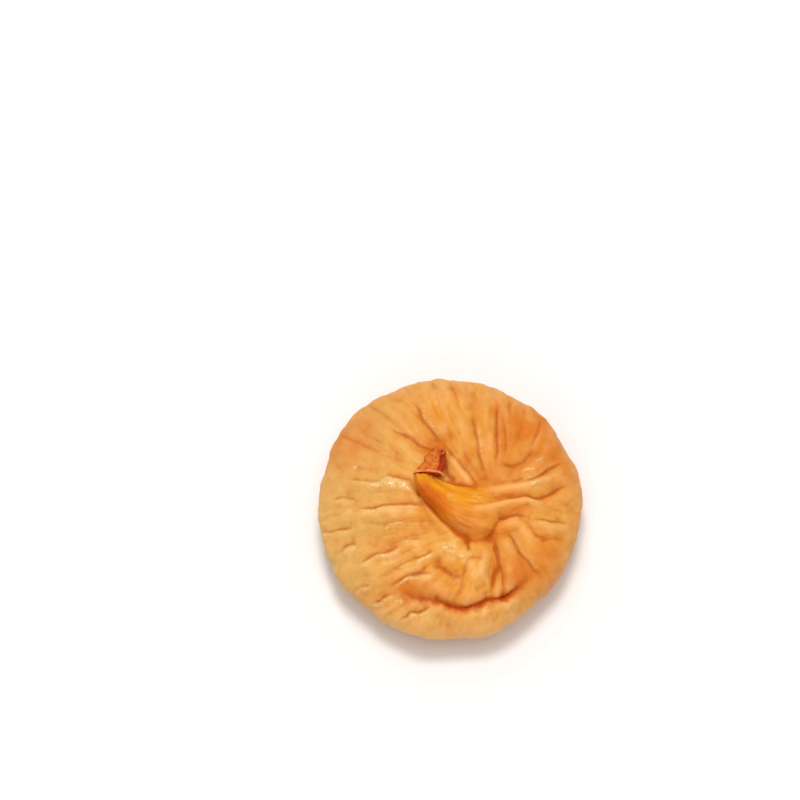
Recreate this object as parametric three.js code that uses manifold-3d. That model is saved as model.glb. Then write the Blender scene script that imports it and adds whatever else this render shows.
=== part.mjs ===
// A dried fig, pressed flat. It lies on its eye, and its neck is folded down over the upper face and
// ends in the cut stub of its stalk.
// Millimetres, +Z up. The origin is on the resting plane, under the middle of the fig's box. Seen from
// above with +Y away, the stalk points away and the deep rim fold is at the near side.

import * as THREE from 'three';
import { mergeVertices } from 'three/addons/utils/BufferGeometryUtils.js';
import Module from 'manifold-3d';

// Driving dimensions
const WIDTH = 44.4; // across, along X
const DEPTH = 46.0; // along Y
const RIM_HEIGHT = 7.2; // of the widest line above the resting plane
const DOME = 6.0; // of the upper face above the widest line
const BELLY = 7.5; // of the underside below the widest line, cut off flat by the resting plane
const UPPER_FULLNESS = 2.25; // superellipse exponents: 2 is an ellipse, more is boxier
const LOWER_FULLNESS = 2.7;
const NECK_ROOT = new THREE.Vector2(7.5, -4); // where the wrinkles of the upper face run together
const EYE = new THREE.Vector2(-1, 1); // where those of the underside do
const EYE_RADIUS = 3.2;
const JOINT_GAP = 0.3; // between the neck's end and the stalk
const ROOT_RIDGE = -0.2; // where the neck's ridge runs across it, at its root and at its end
const END_RIDGE = -0.75;
const COLLAR = 0.09; // where the stalk's collar stands, as a share of its length
const WALL = 0.4; // where the cut face ends and the bark begins, as a share of the half width

const NEAR_SIDE = -Math.PI / 2; // the turn at which the near side lies

// How finely the skin is divided
const MERIDIANS = 120;
const INNER = 0.4; // share of the way from a pole to the rim within which every other meridian is left out
const UPPER_STEP = 0.78; // between rings, on the upper face and the rim
const LOWER_STEP = 2.2; // on the underside
const EYE_STEP = 0.8; // in and beside the eye
const NARROWEST = 1.2; // half width of the narrowest fold that this mesh can show

const SKIN_COLOUR = 0xd99a4e;
const STALK_COLOUR = 0xa85a2c;

// A number from 0 to 1 that looks random and is the same every time
function chance(index, salt) {
  const wave = Math.sin(index * 12.9898 + salt * 78.233) * 43758.5453;
  return wave - Math.floor(wave);
}

function bell(x) {
  return Math.exp(-x * x);
}

function ramp(x, from, to) {
  return THREE.MathUtils.smoothstep(x, from, to);
}

// Folds of the upper face, seen from above: a path, how deep it is (a height where it is a ridge, and
// then negative), and its half width
const FOLDS = [
  // the deep fold inside the near rim, with the short branch and the step at its left end
  {
    path: [
      [-7.8, -16.8], [-5, -17.9], [-1.6, -18.6], [1.6, -19.4], [4.8, -18.9], [8.9, -17.7], [13.6, -14.1],
      [14.4, -12.7],
    ],
    depth: 1.2,
    width: 1.05,
  },
  { path: [[-3.1, -18.3], [-5, -20], [-6.7, -20.1], [-8.7, -21.2]], depth: 0.6, width: 0.6 },
  { path: [[-10.9, -15.7], [-7.7, -14.5], [-4.5, -14], [-2.4, -13.7]], depth: 0.55, width: 0.6 },
  // the strands that leave the neck's root for the right rim, with the grooves between and beside them
  {
    path: [[3.3, 0.6], [8.3, 1], [10.9, 1.5], [13.4, 2.1], [15.9, 3.2], [18.8, 5.2]],
    depth: -0.65,
    width: 1.4,
  },
  {
    path: [[1.3, -2.8], [6.2, -3], [8.3, -2.2], [10.9, -1.2], [13.4, -0.7], [16.4, -1.4]],
    depth: -0.8,
    width: 1.4,
  },
  {
    path: [[8.9, -1.1], [12.4, -0.2], [14.6, -0.3], [16.4, 0.2], [18.1, 1.5], [20.3, 3]],
    depth: 0.8,
    width: 0.5,
  },
  { path: [[11.7, 2], [13.9, 3.1], [16.1, 4.7], [17.8, 6], [19.8, 6.9]], depth: 0.5, width: 0.5 },
  { path: [[8, -4.7], [9.9, -4], [11.4, -3.5], [13.4, -3.8]], depth: 0.8, width: 0.9 },
  { path: [[12.7, -4], [15.9, -4.7], [20.9, -5.6]], depth: 0.35, width: 0.5 },
  // round the neck's root, and from there down to the deep fold
  {
    path: [[2.3, -7.5], [4.6, -8.5], [6.5, -8], [7.5, -6.5], [8.4, -5.1], [9.7, -4], [11.7, -3.2]],
    depth: 0.9,
    width: 0.6,
  },
  {
    path: [[7.8, -8.8], [8.1, -10.8], [8.3, -12.8], [8, -15], [7.5, -16.8], [7, -18.5]],
    depth: 0.9,
    width: 0.6,
  },
  { path: [[9.2, -6.3], [10.7, -7.5], [12.2, -10.6], [14.6, -12.7], [16.1, -13.5]], depth: 0.5, width: 0.5 },
  {
    path: [[4, -9.6], [3, -11.8], [2.5, -13.7], [2.3, -15.2], [1.4, -16.9], [0.3, -18.8]],
    depth: 0.7,
    width: 0.6,
  },
  { path: [[-3.5, -12.4], [-1.6, -12.6], [-0.4, -13.4], [0.9, -14.4], [2.6, -15]], depth: 0.8, width: 0.8 },
  // behind the stalk, and from there to the far rim
  { path: [[-2.1, 10], [-0.4, 8.7], [1.6, 6], [3, 4], [5, 1.1]], depth: 0.65, width: 0.5 },
  { path: [[-0.25, 7.5], [1.1, 5.6], [2.6, 3.7], [4.5, 1.5]], depth: -0.8, width: 1.1 },
  { path: [[8, 17.2], [7.8, 11.5], [8, 8.3], [7.8, 4.6]], depth: 0.55, width: 0.5 },
  { path: [[3.8, 15.8], [4.8, 9.7], [6.3, 2.9]], depth: 0.35, width: 0.5 },
  { path: [[-6.2, 17.2], [-2.8, 12.3], [-0.6, 8.9]], depth: 0.5, width: 0.6 },
  { path: [[-9.9, 12.5], [-6.5, 10.2], [-2.8, 7.8]], depth: 0.5, width: 0.6 },
  { path: [[8.4, 6.2], [10, 5.8], [11.7, 6.2], [13.2, 7.6], [14.4, 9.5]], depth: 0.6, width: 0.7 },
  // the long thin folds of the left side
  { path: [[-15.9, -2.4], [-12.9, -2], [-7.2, -1.3], [-4.1, -1.7]], depth: 0.4, width: 0.5 },
  { path: [[-15.9, -11.6], [-12.6, -10.1], [-7.8, -8.2]], depth: 0.35, width: 0.5 },
];

// Soft swellings and hollows of the upper face: a place, a height and a radius
const SWELLINGS = [
  { at: [-2.1, -15.5], height: 0.9, radius: 3.2 },
  { at: [5, -13.4], height: 0.9, radius: 2.4 },
  { at: [10.9, -13.1], height: 0.9, radius: 2.4 },
  { at: [-6, -15.8], height: 0.5, radius: 2.5 },
  { at: [0.8, -10.8], height: 0.5, radius: 2.2 },
  { at: [5.6, -10.3], height: 0.4, radius: 2 },
  { at: [-3.5, -21], height: 0.3, radius: 2.5 },
  { at: [8.4, -20.5], height: 0.3, radius: 3 },
  { at: [-4.3, -7.6], height: -0.25, radius: 3.5 },
  { at: [-3.5, -0.8], height: -0.3, radius: 3.5 },
  { at: [-8.5, 0.2], height: 0.3, radius: 4.5 },
  { at: [14.1, 5.6], height: 0.5, radius: 1.5 },
  { at: [17.6, -6.2], height: 0.3, radius: 3.5 },
  { at: [15.9, 8.2], height: 0.35, radius: 3.5 },
  { at: [11.7, 10], height: -0.35, radius: 4 },
  { at: [-2.3, 16.4], height: 0.5, radius: 5 },
  { at: [-8.5, 13.8], height: 0.35, radius: 4.5 },
  { at: [-13.6, -12.8], height: 0.3, radius: 4 },
];

// Small folds that run from pole to pole, all round
const WRINKLES = 46;

// The smooth form of the pressed fig, before any fold
function smoothSkin(turn, share, isUpper) {
  const pole = isUpper ? NECK_ROOT : EYE;
  const slow = 0.008 * Math.sin(3 * turn + 0.6) + 0.006 * Math.sin(5 * turn + 2);
  const wobble = 1 + slow + 0.004 * Math.sin(9 * turn);
  const fullness = isUpper ? UPPER_FULLNESS : LOWER_FULLNESS;
  const rise = Math.pow(Math.max(1 - Math.pow(share, fullness), 0), 1 / fullness);
  return new THREE.Vector3(
    pole.x * (1 - share) + (WIDTH / 2) * share * wobble * Math.cos(turn),
    pole.y * (1 - share) + (DEPTH / 2) * share * wobble * Math.sin(turn),
    RIM_HEIGHT + (isUpper ? DOME : -BELLY) * rise,
  );
}

// Distance from a point to a fold's path, and how far along the path the nearest place is, from 0 to 1
function nearestOnPath(points, x, y) {
  let best = { distance: Infinity, along: 0 };
  for (let i = 0; i + 1 < points.length; i++) {
    const [ax, ay] = [points[i].x, points[i].y];
    const [dx, dy] = [points[i + 1].x - ax, points[i + 1].y - ay];
    const t = THREE.MathUtils.clamp(((x - ax) * dx + (y - ay) * dy) / (dx * dx + dy * dy), 0, 1);
    const distance = Math.hypot(x - ax - t * dx, y - ay - t * dy);
    if (distance < best.distance) best = { distance, along: (i + t) / (points.length - 1) };
  }
  return best;
}

for (const fold of FOLDS) {
  const curve = new THREE.CatmullRomCurve3(fold.path.map(([x, y]) => new THREE.Vector3(x, y, 0)));
  fold.points = curve.getPoints(4 * fold.path.length);
}

// A groove with the skin piled up on both its sides, or with a negative depth a ridge
function foldRelief(x, y) {
  let height = 0;
  for (const fold of FOLDS) {
    const { distance, along } = nearestOnPath(fold.points, x, y);
    const width = Math.max(fold.width, NARROWEST);
    if (distance > 4 * width) continue;
    const fade = ramp(along, 0, 0.18) * ramp(1 - along, 0, 0.18);
    const depth = fold.depth * fade * Math.pow(fold.width / width, 0.8);
    height -= depth * bell(distance / width);
    if (depth > 0) height += 0.35 * depth * bell((distance - 2 * width) / width);
  }
  return height;
}

function swellingRelief(x, y) {
  let height = 0;
  for (const { at, height: top, radius } of SWELLINGS) {
    height += top * bell(Math.hypot(x - at[0], y - at[1]) / radius);
  }
  return height;
}

// journey runs from 0 at the upper pole, through 1 on the rim, to 2 at the eye
function wrinkleRelief(turn, journey) {
  let height = 0;
  for (let i = 0; i < WRINKLES; i++) {
    const middle = ((i + 0.7 * (chance(i, 1) - 0.5)) / WRINKLES) * 2 * Math.PI;
    const sway = 0.07 * Math.sin(3 * journey + 6 * chance(i, 2));
    const off = Math.atan2(Math.sin(turn - middle - sway), Math.cos(turn - middle - sway));
    const start = 0.85 + 0.25 * chance(i, 3) - 0.4 * Math.max(Math.sin(middle), 0);
    const end = 1.2 + 0.7 * chance(i, 4);
    const fade = ramp(journey, start - 0.2, start + 0.1) * ramp(-journey, -end - 0.1, -end + 0.2);
    const halfWidth = 0.042 + 0.02 * chance(i, 5);
    height -= (0.1 + 0.2 * chance(i, 6)) * fade * bell(off / halfWidth);
  }
  return height;
}

// The eye: a dimple with a raised ring of closed scales in it
function eyeRelief(x, y) {
  const radius = Math.hypot(x - EYE.x, y - EYE.y);
  const turn = Math.atan2(y - EYE.y, x - EYE.x);
  const scales = 0.25 * Math.abs(Math.sin(4 * turn)) * bell((radius - 1.3) / 0.7);
  return scales + 0.5 * bell(radius / 0.9) - 1.5 * bell(radius / EYE_RADIUS);
}

// The middle line of the neck, from its root in the fig, and then of the stalk's stub to its tip, with
// the half width and half height of each place
const NECK = [
  { at: [16, -0.6, 9.5], halfWidth: 2.6, halfHeight: 1.4 },
  { at: [12, -1.4, 11.6], halfWidth: 3.2, halfHeight: 1.5 },
  { at: [8, -3.4, 12.6], halfWidth: 4.6, halfHeight: 1.8 },
  { at: [4, -2.8, 12.9], halfWidth: 4.3, halfHeight: 2.4 },
  { at: [0.7, -1.5, 13.5], halfWidth: 3.3, halfHeight: 2.4 },
  { at: [-2.1, 0.15, 14], halfWidth: 2.5, halfHeight: 2.2 },
  { at: [-3.6, 1.5, 14.45], halfWidth: 2.1, halfHeight: 1.95 },
  { at: [-3.95, 2.9, 14.75], halfWidth: 2.2, halfHeight: 1.65 },
];
const STALK = [
  { at: [-3.75, 3.4, 14.85], halfWidth: 2.15, halfHeight: 1.45 },
  { at: [-3.05, 4.6, 14.9], halfWidth: 1.95, halfHeight: 1.35 },
  { at: [-2.6, 5.7, 15.05], halfWidth: 1.75, halfHeight: 1.25 },
  { at: [-2.05, 6.7, 15.1], halfWidth: 1.35, halfHeight: 1.05 },
  { at: [-1.5, 7.7, 15.1], halfWidth: 0.75, halfHeight: 0.75 },
];
const STATIONS = [...NECK, ...STALK];
const NECK_END = (NECK.length - 1) / (STATIONS.length - 1); // as a share of the whole line
const NECK_LINE = new THREE.CatmullRomCurve3(STATIONS.map(({ at }) => new THREE.Vector3(...at)));
const NECK_SIZES = new THREE.CatmullRomCurve3(
  STATIONS.map(({ halfWidth, halfHeight }, i) => new THREE.Vector3(halfWidth, halfHeight, i)),
);

// A closed solid through rings of points, each ring given by a function of its share along and round
function loft(pointAt, along, round) {
  const vertices = [];
  const faces = [];
  for (let i = 0; i <= along; i++) {
    for (let j = 0; j < round; j++) {
      vertices.push(...pointAt(i / along, (j / round) * 2 * Math.PI).toArray());
    }
  }
  const ring = (i, j) => i * round + (j % round);
  for (let i = 0; i < along; i++) {
    for (let j = 0; j < round; j++) {
      faces.push(ring(i, j), ring(i + 1, j + 1), ring(i, j + 1));
      faces.push(ring(i, j), ring(i + 1, j), ring(i + 1, j + 1));
    }
  }
  for (const [i, isStart] of [[0, true], [along, false]]) {
    const middle = new THREE.Vector3();
    for (let j = 0; j < round; j++) middle.add(new THREE.Vector3().fromArray(vertices, 3 * ring(i, j)));
    const centre = vertices.length / 3;
    vertices.push(...middle.divideScalar(round).toArray());
    for (let j = 0; j < round; j++) {
      if (isStart) faces.push(centre, ring(i, j), ring(i, j + 1));
      else faces.push(centre, ring(i, j + 1), ring(i, j));
    }
  }
  return geometryOf(vertices, faces);
}

function geometryOf(vertices, faces) {
  const geometry = new THREE.BufferGeometry();
  geometry.setAttribute('position', new THREE.Float32BufferAttribute(vertices, 3));
  geometry.setIndex(faces);
  return geometry;
}

// A tube along the neck's line between two places on it, from 0 to 1. shape gives, for a share of that
// stretch and a turn round, how the ellipse is stretched sideways and upwards there. The rings stand
// across the line, or with a heading all across that.
function tube(first, last, shape, along, round, heading) {
  return loft((share, turn) => {
    const place = THREE.MathUtils.lerp(first, last, share);
    const ahead = heading ?? NECK_LINE.getTangent(place);
    const side = new THREE.Vector3(ahead.y, -ahead.x, 0).normalize();
    const up = new THREE.Vector3().crossVectors(side, ahead);
    const size = NECK_SIZES.getPoint(place);
    const { sideways, upwards } = shape(share, turn);
    return NECK_LINE.getPoint(place)
      .addScaledVector(side, size.x * sideways)
      .addScaledVector(up, size.y * upwards);
  }, along, round);
}

// The neck's section is a soft roof over a flat belly. Its ridge runs across, from 0 in the middle to -1
// at the near edge, and moves towards that edge along the neck.
function neckShape(share, turn) {
  const side = Math.cos(turn);
  const ridge = THREE.MathUtils.lerp(ROOT_RIDGE, END_RIDGE, share);
  const fromRidge = (side - ridge) / (Math.sign(side - ridge) - ridge);
  const roof = Math.pow(Math.max(1 - Math.pow(Math.abs(fromRidge), 1.8), 0), 0.9);
  const end = 1 - 0.12 * ramp(share, 0.96, 1);
  return { sideways: side * end, upwards: (Math.sin(turn) < 0 ? 0.7 * Math.sin(turn) : roof) * end };
}

// A collar stands round the stalk's start. Beyond it the slanting cut has left a flat face, with a wall of
// bark at its right.
function stalkShape(share, turn) {
  const side = Math.cos(turn);
  const collar = bell((share - COLLAR) / 0.06);
  const size = 1 + 0.1 * collar - 0.3 * ramp(-share, -COLLAR, 0);
  const wall = Math.max((side - WALL) / (1 - WALL), 0);
  const face = 0.55 * Math.sqrt(1 - wall * wall);
  const isCut = share > COLLAR + 0.05 && Math.sin(turn) > 0;
  return { sideways: side * size, upwards: (isCut ? face : Math.sin(turn)) * size };
}

// Rings from the upper pole to the eye, evenly spaced along the profile of the near side
function ringShares() {
  const samples = 2000;
  const rings = [];
  let travelled = 0;
  let last = smoothSkin(NEAR_SIDE, 0, true);
  for (let i = 1; i < samples; i++) {
    const journey = (2 * i) / samples;
    const isUpper = journey <= 1;
    // close to the rim the profile is steep, so the share is taken from an angle
    const angle = (journey * Math.PI) / 2;
    const share = Math.pow(Math.sin(angle), 0.8);
    const here = smoothSkin(NEAR_SIDE, share, isUpper);
    travelled += here.distanceTo(last);
    last = here;
    let step = journey < 1.25 ? UPPER_STEP : LOWER_STEP;
    if (share < 0.2 && !isUpper) step = EYE_STEP;
    if (travelled < step) continue;
    travelled = 0;
    rings.push({ share, isUpper, count: share < INNER ? MERIDIANS / 2 : MERIDIANS });
  }
  return rings;
}

// The triangles between two rings that have as many points, or one of which has twice as many
function bandFaces(a, b) {
  const faces = [];
  const inA = (j) => a.start + (j % a.count);
  const inB = (j) => b.start + (j % b.count);
  for (let j = 0; j < Math.min(a.count, b.count); j++) {
    if (a.count === b.count) {
      faces.push(inA(j), inB(j), inB(j + 1), inA(j), inB(j + 1), inA(j + 1));
    } else if (a.count < b.count) {
      faces.push(inA(j), inB(2 * j), inB(2 * j + 1), inA(j), inB(2 * j + 1), inA(j + 1));
      faces.push(inA(j + 1), inB(2 * j + 1), inB(2 * j + 2));
    } else {
      faces.push(inA(2 * j), inB(j), inA(2 * j + 1), inA(2 * j + 1), inB(j), inB(j + 1));
      faces.push(inA(2 * j + 1), inB(j + 1), inA(2 * j + 2));
    }
  }
  return faces;
}

function fruitSkin() {
  const rings = ringShares();
  const vertices = [];
  const places = [];
  const addVertex = (turn, share, isUpper) => {
    vertices.push(...smoothSkin(turn, share, isUpper).toArray());
    places.push({ turn, share, isUpper });
  };
  addVertex(0, 0, true);
  for (const ring of rings) {
    ring.start = places.length;
    for (let j = 0; j < ring.count; j++) {
      addVertex((j / ring.count) * 2 * Math.PI, ring.share, ring.isUpper);
    }
  }
  const bottom = places.length;
  addVertex(0, 0, false);
  const faces = [];
  const [top, last] = [rings[0], rings[rings.length - 1]];
  for (let j = 0; j < top.count; j++) faces.push(0, top.start + j, top.start + ((j + 1) % top.count));
  for (let j = 0; j < last.count; j++) {
    faces.push(bottom, last.start + ((j + 1) % last.count), last.start + j);
  }
  for (let i = 0; i + 1 < rings.length; i++) faces.push(...bandFaces(rings[i], rings[i + 1]));
  const skin = geometryOf(vertices, faces);
  foldSkin(skin, places);
  return skin;
}

// Moves each point of the smooth skin along its normal by the folds there, then presses the underside
// flat on the resting plane
function foldSkin(skin, places) {
  skin.computeVertexNormals();
  const position = skin.attributes.position;
  const point = new THREE.Vector3();
  const normal = new THREE.Vector3();
  places.forEach(({ turn, share, isUpper }, i) => {
    point.fromBufferAttribute(position, i);
    normal.fromBufferAttribute(skin.attributes.normal, i);
    const journey = isUpper ? share : 2 - share;
    let height = wrinkleRelief(turn, journey);
    if (isUpper) height += foldRelief(point.x, point.y) + swellingRelief(point.x, point.y) * (1 - share ** 4);
    else height += eyeRelief(point.x, point.y);
    point.addScaledVector(normal, height);
    position.setXYZ(i, point.x, point.y, Math.max(point.z, 0));
  });
}

const wasm = await Module();
wasm.setup();

function solidOf(geometry) {
  const bare = geometry.clone();
  bare.deleteAttribute('normal');
  bare.deleteAttribute('uv');
  const merged = mergeVertices(bare, 1e-4);
  return new wasm.Manifold(
    new wasm.Mesh({
      numProp: 3,
      vertProperties: merged.attributes.position.array,
      triVerts: new Uint32Array(merged.index.array),
    }),
  );
}

function geometryFrom(solid) {
  const { vertProperties, triVerts } = solid.getMesh();
  return geometryOf(Array.from(vertProperties), Array.from(triVerts));
}

function fruit() {
  const neck = tube(0, NECK_END, neckShape, 26, 28);
  const geometry = geometryFrom(solidOf(fruitSkin()).add(solidOf(neck)));
  const material = new THREE.MeshStandardMaterial({ color: SKIN_COLOUR, roughness: 0.45, metalness: 0 });
  const mesh = new THREE.Mesh(geometry, material);
  mesh.name = 'fruit';
  return mesh;
}

// All its rings are parallel to the neck's end, so the joint between the two is evenly wide
function stalk() {
  const heading = NECK_LINE.getTangent(NECK_END);
  const neckEnd = NECK_LINE.getPoint(NECK_END);
  let start = NECK_END;
  while (NECK_LINE.getPoint(start).sub(neckEnd).dot(heading) < JOINT_GAP) start += 0.0005;
  const geometry = tube(start, 1, stalkShape, 20, 28, heading);
  const material = new THREE.MeshStandardMaterial({ color: STALK_COLOUR, roughness: 0.75, metalness: 0 });
  const mesh = new THREE.Mesh(geometry, material);
  mesh.name = 'stalk';
  return mesh;
}

const fig = new THREE.Group();
fig.add(fruit(), stalk());

// The middle of the fig's box stands over the origin
const box = new THREE.Box3().setFromObject(fig);
fig.position.set(-(box.min.x + box.max.x) / 2, -(box.min.y + box.max.y) / 2, 0);

export default fig;
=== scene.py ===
# %% [markdown]
# A pressed dried fig, in Blender.
#
# The fig lies on its eye. Its neck is folded down over the upper face and ends in the cut stub of the
# stalk. The solids that carry its size and weight come ready made. This lesson makes the skin that is
# seen: first its form, then its folds, then its colour and gloss, and last the light. Lengths are in
# millimetres until a mesh is finished, because folds are easier to think about that way.

# %% Load the solids that the skin has to fit
import math

import bpy
import numpy as np
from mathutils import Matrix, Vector
from mathutils import noise


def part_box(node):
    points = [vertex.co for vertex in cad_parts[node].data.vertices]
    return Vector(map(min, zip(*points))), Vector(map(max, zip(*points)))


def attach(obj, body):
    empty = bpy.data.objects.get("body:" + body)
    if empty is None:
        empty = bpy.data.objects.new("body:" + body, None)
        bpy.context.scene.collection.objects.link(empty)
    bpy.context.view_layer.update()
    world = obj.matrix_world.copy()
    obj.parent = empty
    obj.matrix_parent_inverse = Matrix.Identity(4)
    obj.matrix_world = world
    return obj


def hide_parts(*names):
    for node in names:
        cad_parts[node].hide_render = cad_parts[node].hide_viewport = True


MM = 0.001  # metres in a millimetre

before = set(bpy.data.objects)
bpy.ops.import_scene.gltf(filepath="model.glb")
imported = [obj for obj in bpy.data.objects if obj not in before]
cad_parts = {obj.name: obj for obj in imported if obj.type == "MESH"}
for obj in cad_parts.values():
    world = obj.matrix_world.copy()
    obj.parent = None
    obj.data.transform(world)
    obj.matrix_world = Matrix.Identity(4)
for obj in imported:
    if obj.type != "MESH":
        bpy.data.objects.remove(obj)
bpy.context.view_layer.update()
fruit_low, fruit_high = [np.array(corner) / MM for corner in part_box("fruit")]
print("nodes", sorted(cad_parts), "size of the fruit in mm", (fruit_high - fruit_low).round(2))

# %% [markdown]
# The camera comes first, so that every later step can be looked at. The photograph was taken from far
# away and steeply from above. A long lens gives that flat, quiet perspective. The camera isn't turned
# towards the fig but aims beside it, which puts the fig low and right in the picture, as in the
# photograph, and keeps the viewing angle.

# %% Place the camera
PICTURE_SIZE = 800  # pixels
FIG_PIXEL = (450.5, 507.5)  # where the middle of the fig lies in the picture
PIXELS_PER_MM = 5.93
ELEVATION = math.radians(70)
CAMERA_DISTANCE = 600
SENSOR = 36
RIM_HEIGHT = 7.2  # of the widest line above the floor

to_right = np.array([1.0, 0.0, 0.0])
to_top = np.array([0.0, math.sin(ELEVATION), math.cos(ELEVATION)])
forward = np.array([0.0, math.cos(ELEVATION), -math.sin(ELEVATION)])
aim = np.array([0.0, 0.0, RIM_HEIGHT])
aim -= to_right * (FIG_PIXEL[0] - PICTURE_SIZE / 2) / PIXELS_PER_MM
aim += to_top * (FIG_PIXEL[1] - PICTURE_SIZE / 2) / PIXELS_PER_MM

camera_data = bpy.data.cameras.new("camera")
camera_data.sensor_width = SENSOR
camera_data.lens = SENSOR * CAMERA_DISTANCE * PIXELS_PER_MM / PICTURE_SIZE
camera = bpy.data.objects.new("camera", camera_data)
camera.location = Vector((aim - forward * CAMERA_DISTANCE) * MM)
camera.rotation_euler = (math.pi / 2 - ELEVATION, 0, 0)
bpy.context.scene.collection.objects.link(camera)
bpy.context.scene.camera = camera
print("lens in mm", round(camera_data.lens, 1))

# %% [markdown]
# Three small functions shape nearly everything here. A bell is a smooth bump, one at its middle and
# fading to nothing. A ramp climbs smoothly from 0 to 1. The grain is Blender's own Perlin noise, asked
# for at every point of a mesh. None of them draws a random number, so the fig is the same every time.

# %% Bells, ramps, grain and smooth lines
def bell(x):
    return np.exp(-np.square(x))


def ramp(x, start, end):
    share = np.clip((x - start) / (end - start), 0, 1)
    return share * share * (3 - 2 * share)


def grain(points, scale, place=0.0):
    """Smooth noise of about -1 to 1 at every point; place picks another stretch of the same noise."""
    return np.array([noise.noise(Vector(point)) for point in points * scale + place])


INDEX_STEP = 12.9898  # any three numbers that share no pattern would do
SALT_STEP = 78.233
WAVE_HEIGHT = 43758.5453


def chance(index, salt):
    """A number from 0 to 1 that looks random and is the same every time."""
    wave = math.sin(index * INDEX_STEP + salt * SALT_STEP) * WAVE_HEIGHT
    return wave - math.floor(wave)


def line_through(points, steps):
    """A smooth line (Catmull-Rom) through points, with so many steps between two of them."""
    points = np.array(points, float)
    padded = np.vstack([2 * points[0] - points[1], points, 2 * points[-1] - points[-2]])
    places = np.linspace(0, len(points) - 1, steps * (len(points) - 1) + 1)
    first = np.minimum(places.astype(int), len(points) - 2)
    t = (places - first)[:, None]
    a, b, c, d = (padded[first + k] for k in range(4))
    bend = (2 * a - 5 * b + 4 * c - d) * t**2
    return 0.5 * (2 * b + (c - a) * t + bend + (3 * b - a - 3 * c + d) * t**3)


def extent(values):
    return f"from {values.min():.2f} to {values.max():.2f} mm"


print("a bell at 0, 1 and 2:", bell(np.arange(3)).round(3), "and a ramp halfway:", ramp(0.5, 0, 1))

# %% [markdown]
# A dried fig is pressed into a thick disc. Its skin runs in meridians, like the lines on a globe, from
# the neck's root on the upper face, over the rim, to the eye underneath, and every pleat follows them.
# So the form is a globe of its own kind: a superellipse in profile, whose upper pole is the neck's root
# and whose lower pole is the eye. A grid of such meridians would be a good mesh, but the neck has to
# grow out of it, so the grid is only the mould for the next step.

# %% The pressed form
WIDTH = fruit_high[0] - fruit_low[0]
DEPTH = fruit_high[1] - fruit_low[1]
DOME = 6.0  # of the upper face above the widest line
BELLY = 7.5  # of the underside below it, before the floor flattens it
UPPER_FULLNESS = 2.25  # of the superellipse: 2 is an ellipse, and more is boxier
LOWER_FULLNESS = 2.7
WOBBLE = [(3, 0.008, 0.6), (5, 0.006, 2.0), (9, 0.004, 0.0)]  # waves round the rim, their height and start
NECK_ROOT = np.array([7.5, -4.0])
EYE = np.array([-1.0, 1.0])
MERIDIANS = 240
RINGS = 70


def pressed_form(turn, share, is_upper):
    """Points of the smooth fig, for a turn round it and a share of the way from a pole to the rim."""
    pole = NECK_ROOT if is_upper else EYE
    fullness = UPPER_FULLNESS if is_upper else LOWER_FULLNESS
    wobble = sum((height * np.sin(count * turn + start) for count, height, start in WOBBLE), 1)
    rise = np.maximum(1 - share**fullness, 0) ** (1 / fullness)
    x = pole[0] * (1 - share) + WIDTH / 2 * share * wobble * np.cos(turn)
    y = pole[1] * (1 - share) + DEPTH / 2 * share * wobble * np.sin(turn)
    z = RIM_HEIGHT + (DOME if is_upper else -BELLY) * rise
    return np.stack(np.broadcast_arrays(x, y, z), axis=-1)


def meridian_of(points, is_upper):
    """The turn and share of points that lie on the fig, or near it: the reverse of pressed_form."""
    pole = (NECK_ROOT if is_upper else EYE) / (WIDTH / 2, DEPTH / 2)
    place = points[:, :2] / (WIDTH / 2, DEPTH / 2) - pole
    a = pole @ pole - 1
    b = place @ pole
    share = (-b - np.sqrt(np.maximum(b * b - a * (place * place).sum(1), 0))) / a
    turn = np.arctan2(place[:, 1] + pole[1] * share, place[:, 0] + pole[0] * share)
    return turn, share


def sheet_of_rings(rings):
    """Vertices and faces of a closed skin through rings of points, all with the same number of points."""
    count, around = rings.shape[:2]
    vertices = np.vstack([rings.reshape(-1, 3), rings[0].mean(0), rings[-1].mean(0)])
    first_pole, last_pole = count * around, count * around + 1
    faces = []
    for j in range(around):
        k = (j + 1) % around
        faces.append((first_pole, k, j))
        faces.append((last_pole, (count - 1) * around + j, (count - 1) * around + k))
        for i in range(count - 1):
            faces.append((i * around + j, i * around + k, (i + 1) * around + k, (i + 1) * around + j))
    return vertices, faces


around = np.linspace(0, 2 * math.pi, MERIDIANS, endpoint=False)
upper_shares = np.sin(np.linspace(0.01, math.pi / 2, RINGS)) ** 0.85  # the rings crowd towards the rim
upper_rings = [pressed_form(around, share, True) for share in upper_shares]
lower_rings = [pressed_form(around, share, False) for share in upper_shares[-2::-1]]
body_mould = sheet_of_rings(np.array(upper_rings + lower_rings))
print("body mould", len(body_mould[0]), "points")

# %% [markdown]
# The neck of a fresh fig tapers up to its stalk. Here it was pushed over while soft, so it lies on the
# face like a curled tail. It is made as a tube round a middle line, which goes on into the stalk: wide
# and sunk in the face at its root, and narrow at its end. A curve object with a bevel would be a tube
# too, but a line of plain points can also be asked where it is nearest, which the folds need later.

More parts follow.
